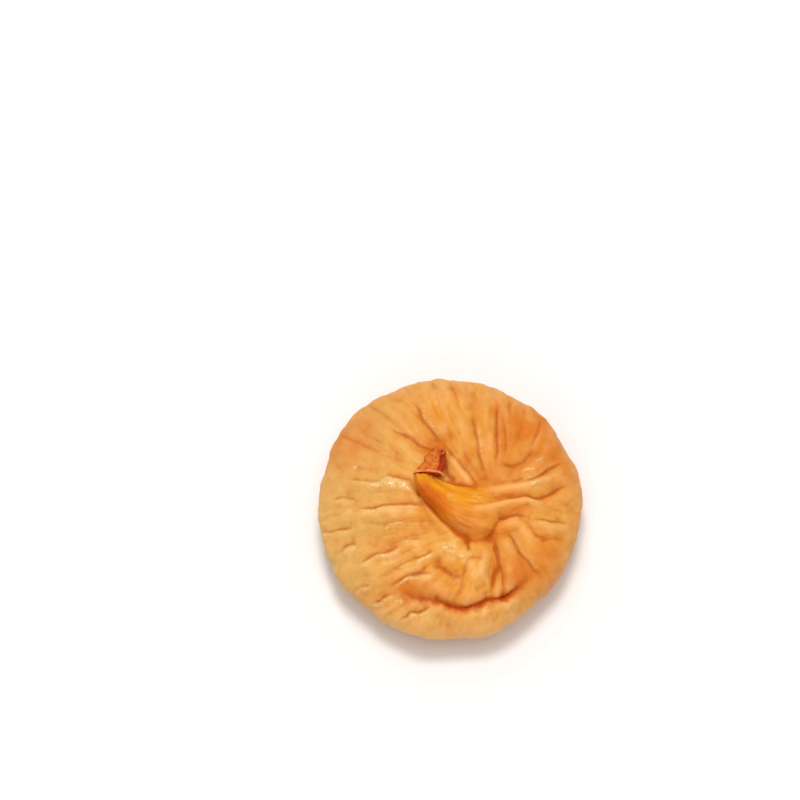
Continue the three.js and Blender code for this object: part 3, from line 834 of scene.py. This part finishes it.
jagged = 0.2 * wander + 0.24 * wandering(points, 1.5, 81.0)
signed, along = near_path(on_face(DEEP_FOLD), points[:, :2] + jagged)
deep_share = fading(along, 0.25, 0.3) * upper_only
inner = np.maximum(signed, 0)
outer = np.maximum(-signed, 0)
lip = bell((inner - 1.5) / 1.2) * (signed > 0)
band = bell((outer - 1.3) / 0.9) * (signed < 0)
uneven = 1 + 0.5 * grain(points, 0.8, 91.0)
groove = np.where(signed > 0, bell(inner / (0.6 * uneven)), bell(outer / (0.36 * uneven)))
deepness = DEEP_FOLD_DEPTH * (0.4 + 0.6 * ramp(along, 0.05, 0.3) + 0.6 * bell((along - 0.77) / 0.07))
points += normals * (deep_share * (INNER_LIP * lip + OUTER_BAND * band - deepness * groove))[:, None]
outward = points[:, :2] - NECK_ROOT
outward /= np.linalg.norm(outward, axis=1)[:, None]
points[:, :2] += outward * (OVERHANG * deep_share * bell((inner - 0.9) / 0.8) * (signed > 0))[:, None]
# painted shade: a dark line along the deep fold's groove, and a halo round it
deep_fold_shade = deep_share * bell(signed / (0.55 * uneven)) * (0.45 + 0.55 * ramp(along, 0.15, 0.45))
deep_fold_halo_shade = deep_share * np.where(signed > 0, bell(inner / 1.7), bell(outer / 0.9))
plan = points[:, :2].copy()  # seen from above again, now that the points have moved

points[:, 2] = np.maximum(points[:, 2], 0)
points = relaxed(points, 1, 0.4)
points[:, 2] = np.maximum(points[:, 2], 0)
move_points(skin_mesh, points)
print("skin from", points.min(0).round(2), "to", points.max(0).round(2), "mm")

# %% [markdown]
# Creases are painted darker and redder, partly for the sugar that gathers there and partly as painted shade.
# How deep a point lies in a crease is
# measured: the skin is smoothed in thought, and the point is compared with where it would then be. Few
# rounds of smoothing find small creases, and many rounds find large ones.

# %% Measure the creases
SMALL_ROUNDS = 10
LARGE_ROUNDS = 60
final_normals = normals_of(skin_mesh)
small_crease = ((relaxed(points, SMALL_ROUNDS) - points) * final_normals).sum(1)
large_crease = ((relaxed(points, LARGE_ROUNDS) - points) * final_normals).sum(1)
print("small creases", np.percentile(small_crease, [1, 50, 90, 99]).round(3))
print("large creases", np.percentile(large_crease, [1, 50, 90, 99]).round(3))

# %% [markdown]
# Sugar has stained the skin here and there, mostly where folds meet. The same mask also carries painted
# shade: in clefts and hollows by the neck, round the stub, in the gap beside the neck, in a halo round the
# deep fold, and as painted shadow that darkens the far and right sides. The spots are round and run into
# each other, and noise breaks them up. The neck's masks come from the place along it and round it.

# %% Stains, painted shade, and the parts of the neck
STAINS_AND_SHADE = [  # sugar stains and spots of painted shade: pixel, strength, radius
    ((413, 594), 0.9, 2.2),
    ((455, 575), 0.4, 2.0),
    ((437, 567), 0.4, 2.5),
    ((526, 574), 0.7, 3.5),
    ((499, 565), 0.5, 2.0),
    ((515, 517), 0.9, 2.5),
    ((495, 532), 1.3, 1.6),
    ((480, 538), 0.5, 2.5),
    ((467, 539), 1.3, 0.6),
    ((522, 440), 0.85, 6.5),
    ((490, 478), 0.7, 3.0),
    ((467, 462), 0.6, 2.5),
    ((436, 440), 0.8, 3.0),
    ((437, 447), 1.0, 1.3),
    ((428, 448), 0.6, 1.0),
    ((345, 445), 0.6, 5.5),
    ((400, 586), 0.6, 2.2),
    ((372, 598), 0.35, 3.0),
    ((390, 549), 0.35, 3.0),
    ((428, 516), 0.4, 3.0),
    ((562, 470), 0.4, 3.0),
    ((545, 560), 0.35, 5.0),
    ((447, 598), 0.3, 3.0),
]

# painted shade in the gap round the neck past its root and in the deep fold's halo, and painted shadow that
# darkens the far and the right side; the spots add real sugar stains and more painted shade
shade_beside_neck = ramp(neck_reach, 1.03, 1.1) * (1 - ramp(neck_reach, 1.15, 1.3)) * ramp(neck_along, 0.35, 0.5)
stain_and_shade = 0.4 * deep_fold_halo_shade + 0.3 * ramp(plan[:, 1], 4, 18) + 0.25 * ramp(plan[:, 0], 4, 18) + 0.9 * shade_beside_neck
for spot, strength, radius in STAINS_AND_SHADE:
    stain_and_shade += strength * near_spot(spot, radius, plan)
stain_and_shade *= ramp(points[:, 2], RIM_HEIGHT - 6, RIM_HEIGHT + 2) * (0.85 + 0.6 * grain(points, 0.4, 71.0))
neck_tint = on_neck * ramp(neck_along, 0.2, 0.48)
near_side = ramp(-np.cos(neck_round) + 0.2 * grain(points, 0.5, 61.0), -0.35, 0.5)
front_end = ramp(neck_along, 0.5, 0.72) * (1 - 0.7 * ramp(neck_along, 0.84, 0.97))
print("stained points", int((stain_and_shade > 0.5).sum()))

# %% [markdown]
# All these measures are stored on the mesh as named attributes, for the material to read. They could be
# vertex colours too, but a number under a name of its own says what it is.

# %% Store the measures on the skin
SMALL_FULL = 0.12  # the depth at which a small crease counts as 1, and the same for a large one
LARGE_FULL = 0.4


def store(mesh, name, values):
    kind = "FLOAT_VECTOR" if values.ndim == 2 else "FLOAT"
    attribute = mesh.attributes.new(name, kind, "POINT")
    attribute.data.foreach_set("vector" if values.ndim == 2 else "value", values.astype(np.float32).ravel())


# Among these, the crease depths, the fold and deep-fold lines, the deep fold's halo and the stains carry
# painted shade, the crests painted light, and the shine gloss with painted highlights.
measures = {
    "small_crease": np.clip(small_crease / SMALL_FULL, -1, 1),
    "large_crease": np.clip(large_crease / LARGE_FULL, -1, 1),
    "fold_shade_line": fold_shade_line * upper_only,
    "deep_fold": deep_fold_shade,
    "deep_fold_halo_shade": deep_fold_halo_shade,
    "shine": shine * ramp(points[:, 2], RIM_HEIGHT, RIM_HEIGHT + 2) * (1 - 0.45 * free_neck),
    "crest": crest * (1 - free_neck),
    "stain_and_shade": np.clip(stain_and_shade, 0, 1),
    "pale_side": ramp(-plan[:, 0] + 1.5 * grain(points, 0.3, 67.0), 4, 15),
    "neck_share": on_neck,
    "neck_tint": neck_tint,
    # partly painted shade: the near front of the neck, and the wedge where it is pinched under the collar
    "neck_front": neck_tint * near_side * front_end + 0.8 * on_neck * pinch,
    "neck_belly": neck_tint * near_side * ramp(-neck_along, -0.66, -0.45),
    "journey": journey,
    "flow": wrapped(turn, journey, 10, 4),
    "strand": strand_place * 4,
}
for name, values in measures.items():
    store(skin_mesh, name, values)
print("stored", len(measures), "measures")

# %% [markdown]
# The skin is finished, so it moves to its place: its middle goes over the middle of the solid that it
# stands for. It already lies on the floor, so its height stays. Millimetres become metres.

# %% Move the skin to its place in the frame
to_frame = (fruit_low + fruit_high) / 2 - (points.min(0) + points.max(0)) / 2
to_frame[2] = 0
move_points(skin_mesh, (points + to_frame) * MM)
skin_mesh.shade_smooth()
print("moved by", to_frame.round(2), "mm")
print("top at", points[:, 2].max().round(2), "and that of the solid at", fruit_high[2].round(2))

# %% [markdown]
# The stalk is what the knife left: a short woody stub. A collar lies against the neck's lip, the cut
# runs out slanting to a tip, and its face is open, spongy wood between two walls of bark, of which the
# right one stands higher.

# %% The stub of the stalk
STUB_RINGS = 70
STUB_SIDES = 128
SUNK = 6  # steps of the middle line by which the stub's foot is sunk in the neck's end
COLLAR = 0.24  # how far along the stub the collar lies, from 0 to 1
NOTCH = 0.52  # and the notch in its left wall
WALL = 0.5  # where the cut face ends and the bark of the right side begins, as a share of the half width
ACROSS = np.array([0.998, -0.06, 0.0])  # the rings of the stub lie parallel, all across it in this direction
NUB = np.array([-1.35, 6.95])  # where a thread of fibre left a small curl on the high wall
NUB_RADIUS = 0.44

stub_turn = np.linspace(0, 2 * math.pi, STUB_SIDES, endpoint=False)
up = np.sin(stub_turn)
side = np.cos(stub_turn)


def cut_face(nub):
    """How high the cut face is across the stub, as a share of the half height: hollow, between two rims."""
    wall = np.clip((side - WALL) / (1 - WALL), 0, 1)
    hollow = 0.55 + 0.12 * bell((side - WALL) / 0.1) + 0.1 * bell((side + 0.92) / 0.1)
    return hollow * np.sqrt(1 - wall**2) + 0.45 * nub


def stub_ring(step):
    """A ring of the stub at a step from 0 to 1 along it, and how bare and how pale the wood is there; the
    pale at the collar's left end is partly painted light.
    """
    index = int(round(neck_end - SUNK + step * (len(middle_line) - 1 - neck_end + SUNK)))
    half_width, half_height, _ = line_sizes[index]
    collar = bell((step - COLLAR) / 0.045)
    left_end = ramp(-side, 0.6, 0.9)
    size = 1 + (0.08 + 0.06 * left_end) * collar - 0.4 * (1 - ramp(step, 0.08, 0.16))
    bark = 1 + 0.05 * np.sin(11 * stub_turn + 5 * step) + 0.03 * np.sin(23 * stub_turn)
    notch = bell((step - NOTCH) / 0.07) * ramp(-side, 0.5, 1.0)
    ring = middle_line[index] + (side * (1 - 0.22 * notch) * size * bark * half_width)[:, None] * ACROSS

    from_nub = np.hypot(*(ring[:, :2] - NUB).T)
    curl = bell((from_nub - NUB_RADIUS) / 0.16) * ramp(ring[:, 0] - NUB[0], -0.45, 0.3)
    is_cut = ramp(up, 0.0, 0.12) * ramp(step, COLLAR, 0.3)
    face = cut_face(curl - 0.5 * bell(from_nub / 0.25))
    over = np.where(up > 0, up * (1 - is_cut) + is_cut * face, up)
    ring[:, 2] += over * size * np.where(up > 0, 1, bark) * half_height
    ring[:, 1] += collar * (0.14 * np.sin(3 * side + 1) + 0.08 * np.sin(9 * side + 2))

    bare = is_cut * ramp(-side, -WALL, 0.12 - WALL) * ramp(side, -0.98, -0.85)
    bare = bare * (1 - 0.95 * bell(from_nub / 0.7))
    # the collar and the curl are the wood's own pale colour; the collar's left end is partly its own pale
    # colour and partly painted light over the shade there
    pale = collar + (0.45 * curl * (up > 0) + 0.6 * left_end * (step < 0.3)) * (1 - collar)
    return ring[::-1], bare[::-1], pale[::-1]


stub_rings, bare, pale = zip(*[stub_ring(step) for step in np.linspace(0, 1, STUB_RINGS)])
stub_points, stub_faces = sheet_of_rings(np.array(stub_rings))
stub = mesh_object("stalk_stub", stub_points, stub_faces)
bare = np.append(np.ravel(bare), [0, 1])  # and the two poles
pale = np.append(np.ravel(pale), [0, 0])
print("stub", len(stub_points), "points")

# %% [markdown]
# The cut wood is full of pores and the bark is rough. Both are noise again, in two sizes for the pores,
# and a slow swell that takes the machine-made look off the walls.

# %% Roughen the stub
pores = grain(stub_points, 2.6, 2.0) + 0.5 * grain(stub_points, 6.0, 4.0)
rough = (0.14 * bare + 0.1 * (1 - bare)) * pores + 0.16 * grain(stub_points, 1.0, 6.0)
stub_points += normals_of(stub.data) * rough[:, None]
move_points(stub.data, (stub_points + to_frame) * MM)
for name, values in {"cut": bare, "collar": pale, "pores": pores}.items():
    store(stub.data, name, values)
stub.data.shade_smooth()
print("roughness", extent(rough))

# %% [markdown]
# Materials are built from nodes, in code. A few helpers keep that short: one feeds a node's inputs with
# values or with other nodes, and the rest make the nodes that are used again and again.

# %% Helpers for nodes
def feed(tree, node, **inputs):
    """Give a node's inputs their values, by label with _ for a space, or by number after a _."""
    for name, value in inputs.items():
        number = name.removeprefix("_")
        socket = node.inputs[int(number)] if number.isdigit() else node.inputs[name.replace("_", " ")]
        if isinstance(value, bpy.types.NodeSocket):
            tree.links.new(value, socket)
        else:
            socket.default_value = value


def made(tree, kind, settings=None, output=0, **inputs):
    """One output of a new node."""
    node = tree.nodes.new(kind)
    for name, value in (settings or {}).items():
        setattr(node, name, value)
    feed(tree, node, **inputs)
    return node.outputs[output]


def noise_over(tree, place, scale, detail=2.0, roughness=0.5):
    return made(tree, "ShaderNodeTexNoise", Vector=place, Scale=scale, Detail=detail, Roughness=roughness)


def mixed(tree, factor, first, second):
    return made(tree, "ShaderNodeMix", {"data_type": "RGBA"}, 2, _0=factor, _6=first, _7=second)


def mapped(tree, value, low, high, to_low=0.0, to_high=1.0):
    return made(tree, "ShaderNodeMapRange", _0=value, _1=low, _2=high, _3=to_low, _4=to_high)


def times(tree, first, second):
    return made(tree, "ShaderNodeMath", {"operation": "MULTIPLY"}, _0=first, _1=second)


def measure(tree, name, output="Fac"):
    """A measure that was stored on the mesh: a number, or with Vector a place."""
    return made(tree, "ShaderNodeAttribute", {"attribute_name": name}, output)


def new_material(name):
    material = bpy.data.materials.new(name)
    material.use_nodes = True
    return material, material.node_tree


def colour(red, green, blue):
    """A colour as a picture shows it, 0 to 255, turned into the linear numbers that a shader takes."""
    values = [(value / 255 + 0.055) / 1.055 for value in (red, green, blue)]
    return (*[value**2.4 for value in values], 1.0)


print("a mid grey in linear numbers:", round(colour(128, 128, 128)[0], 3))

# %% [markdown]
# Both materials need the same two effects, so each is a node group. Streaks are long thin marks that
# run with the flow of the skin or the grain of the wood. Blotches are soft stains of two colours.

# %% Node groups for streaks and blotches
NUMBER = "NodeSocketFloat"
PLACE = "NodeSocketVector"
COLOUR = "NodeSocketColor"


def new_group(name, inputs, output, kind):
    """An empty group with named inputs and one output."""
    group = bpy.data.node_groups.new(name, "ShaderNodeTree")
    for label, input_kind in inputs.items():
        group.interface.new_socket(label, in_out="INPUT", socket_type=input_kind)
    group.interface.new_socket(output, in_out="OUTPUT", socket_type=kind)
    return group, group.nodes.new("NodeGroupInput").outputs, group.nodes.new("NodeGroupOutput")


streaks, streak_in, streak_out = new_group("streaks", {"Flow": PLACE, "Scale": NUMBER}, "Mask", NUMBER)
fibres = noise_over(streaks, streak_in["Flow"], streak_in["Scale"], 4.0, 0.6)
feed(streaks, streak_out, Mask=mapped(streaks, fibres, 0.35, 0.68))

blotch_inputs = {"Place": PLACE, "Scale": NUMBER, "First": COLOUR, "Second": COLOUR}
blotches, blotch_in, blotch_out = new_group("blotches", blotch_inputs, "Color", COLOUR)
clouds = mapped(blotches, noise_over(blotches, blotch_in["Place"], blotch_in["Scale"], 3.0), 0.36, 0.66)
feed(blotches, blotch_out, Color=mixed(blotches, clouds, blotch_in["First"], blotch_in["Second"]))


def streaked(tree, flow, scale):
    return made(tree, "ShaderNodeGroup", {"node_tree": streaks}, "Mask", Flow=flow, Scale=scale)


def blotched(tree, place, scale, first, second):
    inputs = {"Place": place, "Scale": scale, "First": first, "Second": second}
    return made(tree, "ShaderNodeGroup", {"node_tree": blotches}, "Color", **inputs)


def layered(tree, base, layers):
    """A colour with others laid over it in turn, each through its own mask."""
    for mask, tint in layers:
        base = mixed(tree, mask, base, tint)
    return base


print("groups", [group.name for group in bpy.data.node_groups])

# %% [markdown]
# The skin is golden, paler and pinker on the rim, and beige on the left. The colours were judged
# and given plain names. Thin pale streaks run in the gold from the neck's root to the rim.

# %% The skin's base coat
GOLD = colour(228, 164, 62)
HONEY = colour(224, 146, 40)
SUNNY = colour(238, 168, 48)
PALE = colour(244, 192, 118)
ROSY = colour(238, 180, 116)
BEIGE = colour(212, 166, 92)

skin_material, tree = new_material("fig_skin")
place = made(tree, "ShaderNodeTexCoord", output="Object")
flow = measure(tree, "flow", "Vector")
in_large_crease = measure(tree, "large_crease")
streak = streaked(tree, flow, 2.0)
sunny_patch = mapped(tree, noise_over(tree, place, 130.0, 1.0), 0.5, 0.64, 0.0, 0.5)
towards_rim = mapped(tree, measure(tree, "journey"), 0.66, 0.95, 0.0, 0.85)
body_colour = layered(tree, blotched(tree, place, 210.0, GOLD, HONEY), [
    (sunny_patch, SUNNY),
    (times(tree, streak, 0.45), PALE),
    (times(tree, towards_rim, mapped(tree, streak, 0.0, 1.0, 0.45, 1.0)), ROSY),
    (times(tree, measure(tree, "pale_side"), 0.5), BEIGE),
    # painted light: convex places paler
    (mapped(tree, in_large_crease, -0.1, -0.8, 0.0, 0.75), PALE),
])
print("base coat of", len(tree.nodes), "nodes")

# %% [markdown]
# The neck is a clear yellow, because little pulp lies behind it. Its streaks follow its own fibres, it
# is orange towards the front, partly its own colour and partly painted shade on the side away from the
# light, with painted shade in the wedge pinched under the collar, and its belly near the root is a dull
# apricot with peach streaks.

# %% The neck's colour
ORANGE = colour(216, 112, 14)
YELLOW = colour(244, 168, 26)
WARM_YELLOW = colour(232, 140, 24)
DEEP_YELLOW = colour(208, 100, 2)
APRICOT = colour(214, 124, 42)
PEACH = colour(246, 176, 96)

strand = measure(tree, "strand", "Vector")
belly = measure(tree, "neck_belly")
neck_streak = streaked(tree, strand, 1.1)
neck_colour = layered(tree, blotched(tree, strand, 0.4, YELLOW, WARM_YELLOW), [
    (times(tree, neck_streak, 0.35), ORANGE),
    (times(tree, belly, 0.8), APRICOT),
    (times(tree, belly, mapped(tree, neck_streak, 0.2, 0.8, 0.45, 0.0)), PEACH),
    # partly painted shade on the near front and under the collar
    (measure(tree, "neck_front"), DEEP_YELLOW),
])
print("with the neck", len(tree.nodes), "nodes")

# %% [markdown]
# Creases are painted deeper and redder, partly for the sugar in them and partly as painted shade, and the
# deep fold gets a russet line and halo of painted shade. Stains carry painted shade as well. Crests are
# painted pale as painted light, and where the skin is crinkled and wet it breaks up into painted highlights,
# specks of cream. Each colour lies over the ones before it, as in painting, so the darkest marks come last.

# %% Painted shade in creases, stains, and painted light on crests
SHADE_AMBER = colour(188, 84, 0)
SHADE_RUST = colour(200, 88, 6)
SHADE_RUSSET = colour(190, 72, 0)
PAINTED_GLINT_CREAM = colour(252, 214, 140)

broken = noise_over(tree, place, 2400.0)
wet = noise_over(tree, place, 260.0)
sparkle = times(tree, measure(tree, "shine"), mapped(tree, wet, 0.4, 0.58, 0.7, 1.0))
skin_colour = layered(tree, body_colour, [
    (measure(tree, "neck_tint"), neck_colour),
    # sugar stains, with painted shade and painted shadow in the same mask
    (times(tree, measure(tree, "stain_and_shade"), 0.85), ORANGE),
    # painted light: ridge crests paler
    (times(tree, measure(tree, "crest"), 0.7), PEACH),
    # painted shade in small and large creases and along the fold lines, partly also the sugar in them
    (mapped(tree, measure(tree, "small_crease"), 0.1, 1.0, 0.0, 0.55), SHADE_AMBER),
    (mapped(tree, in_large_crease, 0.05, 0.6, 0.0, 0.45), ORANGE),
    (mapped(tree, in_large_crease, 0.3, 1.0, 0.0, 0.6), SHADE_AMBER),
    (times(tree, measure(tree, "fold_shade_line"), 0.65), SHADE_AMBER),
    # painted highlight: cream specks on wet crests
    (times(tree, sparkle, mapped(tree, broken, 0.42, 0.56, 0.2, 0.75)), PAINTED_GLINT_CREAM),
    # painted shade round and in the deep fold
    (times(tree, measure(tree, "deep_fold_halo_shade"), 0.45), SHADE_RUST),
    (measure(tree, "deep_fold"), SHADE_RUSSET),
])
print("with creases and stains", len(tree.nodes), "nodes")

# %% [markdown]
# Very fine relief comes from bump: lines that run with the flow, and an even crazing like dried sugar.
# Light sinks in a little way, so the shader scatters it below the surface, red furthest. A thin coat
# gives the moist sheen of sugar and pressing, and it is strongest on the sparkling crests.

# %% The skin's fine relief and gloss
FINE_BUMP = 0.0003  # metres, the height of the finest relief

on_the_neck = measure(tree, "neck_share")
fine_lines = noise_over(tree, flow, 3.2, 5.0, 0.65)
neck_lines = noise_over(tree, strand, 1.6, 4.0)
lines = made(tree, "ShaderNodeMix", {"data_type": "FLOAT"}, _0=on_the_neck, _2=fine_lines, _3=neck_lines)
line_normal = made(tree, "ShaderNodeBump", Height=lines, Strength=0.5, Distance=FINE_BUMP)
crazing = times(tree, noise_over(tree, place, 900.0, 5.0, 0.7), mapped(tree, sparkle, 0.0, 1.0, 1.0, 2.2))
skin_normal = made(
    tree, "ShaderNodeBump", Height=crazing, Strength=0.8, Distance=FINE_BUMP, Normal=line_normal)
moist = times(tree, mapped(tree, wet, 0.5, 0.66, 0.0, 0.1), mapped(tree, on_the_neck, 0.0, 1.0, 1.0, 0.0))
glint = times(tree, sparkle, mapped(tree, broken, 0.38, 0.55))
coat = made(tree, "ShaderNodeMath", {"operation": "ADD", "use_clamp": True}, _0=glint, _1=moist)

shader = tree.nodes["Principled BSDF"]
feed(tree, shader, Base_Color=skin_colour, Normal=skin_normal)
feed(tree, shader, Roughness=mapped(tree, wet, 0.4, 0.65, 0.6, 0.4))
feed(tree, shader, Coat_Weight=coat, Coat_Roughness=0.27, Coat_IOR=1.6)
feed(tree, shader, Subsurface_Weight=0.45, Subsurface_Radius=(1.0, 0.42, 0.12), Subsurface_Scale=0.002)
feed(tree, shader, IOR=1.3, Specular_IOR_Level=0.3)
skin_mesh.materials.clear()
skin_mesh.materials.append(skin_material)
print("skin's material of", len(tree.nodes), "nodes")

# %% [markdown]
# The stalk is dry: dull, reddish bark with an orange, speckled cut face and a pale collar. The masks
# that were stored with its mesh say which is which, and the specks sit in the pores.

# %% The stalk's material
BARK = colour(190, 66, 8)
DARK_BARK = colour(150, 40, 0)
CUT_WOOD = colour(222, 128, 48)
CUT_BROWN = colour(202, 98, 26)
PORE = colour(160, 60, 12)
PALE_COLLAR = colour(250, 160, 90)
BARK_BUMP = 0.0001  # metres

stalk_material, tree = new_material("fig_stalk")
place = made(tree, "ShaderNodeTexCoord", output="Object")
in_pore = times(tree, mapped(tree, measure(tree, "pores"), -0.1, -0.5), 0.45)
cut_wood = mixed(tree, in_pore, blotched(tree, place, 1800.0, CUT_WOOD, CUT_BROWN), PORE)
wood = layered(tree, blotched(tree, place, 900.0, BARK, DARK_BARK), [
    (measure(tree, "cut"), cut_wood),
    # the collar mask: pale wood, with painted light at the collar's left end
    (measure(tree, "collar"), PALE_COLLAR),
])
fibre = streaked(tree, place, 2500.0)
bark_normal = made(tree, "ShaderNodeBump", Height=fibre, Strength=0.5, Distance=BARK_BUMP)
shader = tree.nodes["Principled BSDF"]
feed(tree, shader, Base_Color=wood, Normal=bark_normal, Roughness=mapped(tree, fibre, 0.0, 1.0, 0.5, 0.75))
feed(tree, shader, IOR=1.3, Specular_IOR_Level=0.3)
stub.data.materials.append(stalk_material)
print("stalk's material of", len(tree.nodes), "nodes")

# %% [markdown]
# Last come the floor and the light. The photograph was taken in a white tent: light from everywhere,
# and most of it from above and a little behind. The floor is white, and only the fig's own shadow marks
# it.

# %% Floor and light
LAMPS = [  # name, place and diameter in metres, watts
    ("tent_roof", (0.0, 0.0, 0.8), 0.7, 2.2),
    ("tent_back", (-0.01, 0.17, 0.78), 0.22, 2.7),
    ("tent_front", (-0.1, -0.5, 0.45), 0.4, 0.6),
    ("window", (-0.1, 0.42, 0.6), 0.07, 0.35),
]
FLOOR_WHITE = (0.9, 0.893, 0.89, 1)
TENT_WHITE = (1, 0.95, 0.91, 1)
TENT_STRENGTH = 0.34

floor = mesh_object("floor", [(-1, -1, 0), (1, -1, 0), (1, 1, 0), (-1, 1, 0)], [(0, 1, 2, 3)])
floor_material, tree = new_material("floor")
feed(tree, tree.nodes["Principled BSDF"], Base_Color=FLOOR_WHITE, Roughness=0.9, Specular_IOR_Level=0.1)
floor.data.materials.append(floor_material)

world = bpy.data.worlds.new("tent")
bpy.context.scene.world = world
world.use_nodes = True
feed(world.node_tree, world.node_tree.nodes["Background"], Color=TENT_WHITE, Strength=TENT_STRENGTH)

for name, position, diameter, watts in LAMPS:
    light = bpy.data.lights.new(name, "AREA")
    light.shape = "DISK"
    light.size = diameter
    light.energy = watts
    lamp = bpy.data.objects.new(name, light)
    lamp.location = position
    lamp.rotation_euler = (-Vector(position)).to_track_quat("-Z", "Y").to_euler()
    bpy.context.scene.collection.objects.link(lamp)
bpy.context.scene.view_settings.view_transform = "Standard"
print("lamps", [name for name, *_ in LAMPS])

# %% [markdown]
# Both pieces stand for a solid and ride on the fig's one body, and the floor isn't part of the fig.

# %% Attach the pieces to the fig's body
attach(skin, "root")
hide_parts("fruit")
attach(stub, "root")
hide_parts("stalk")
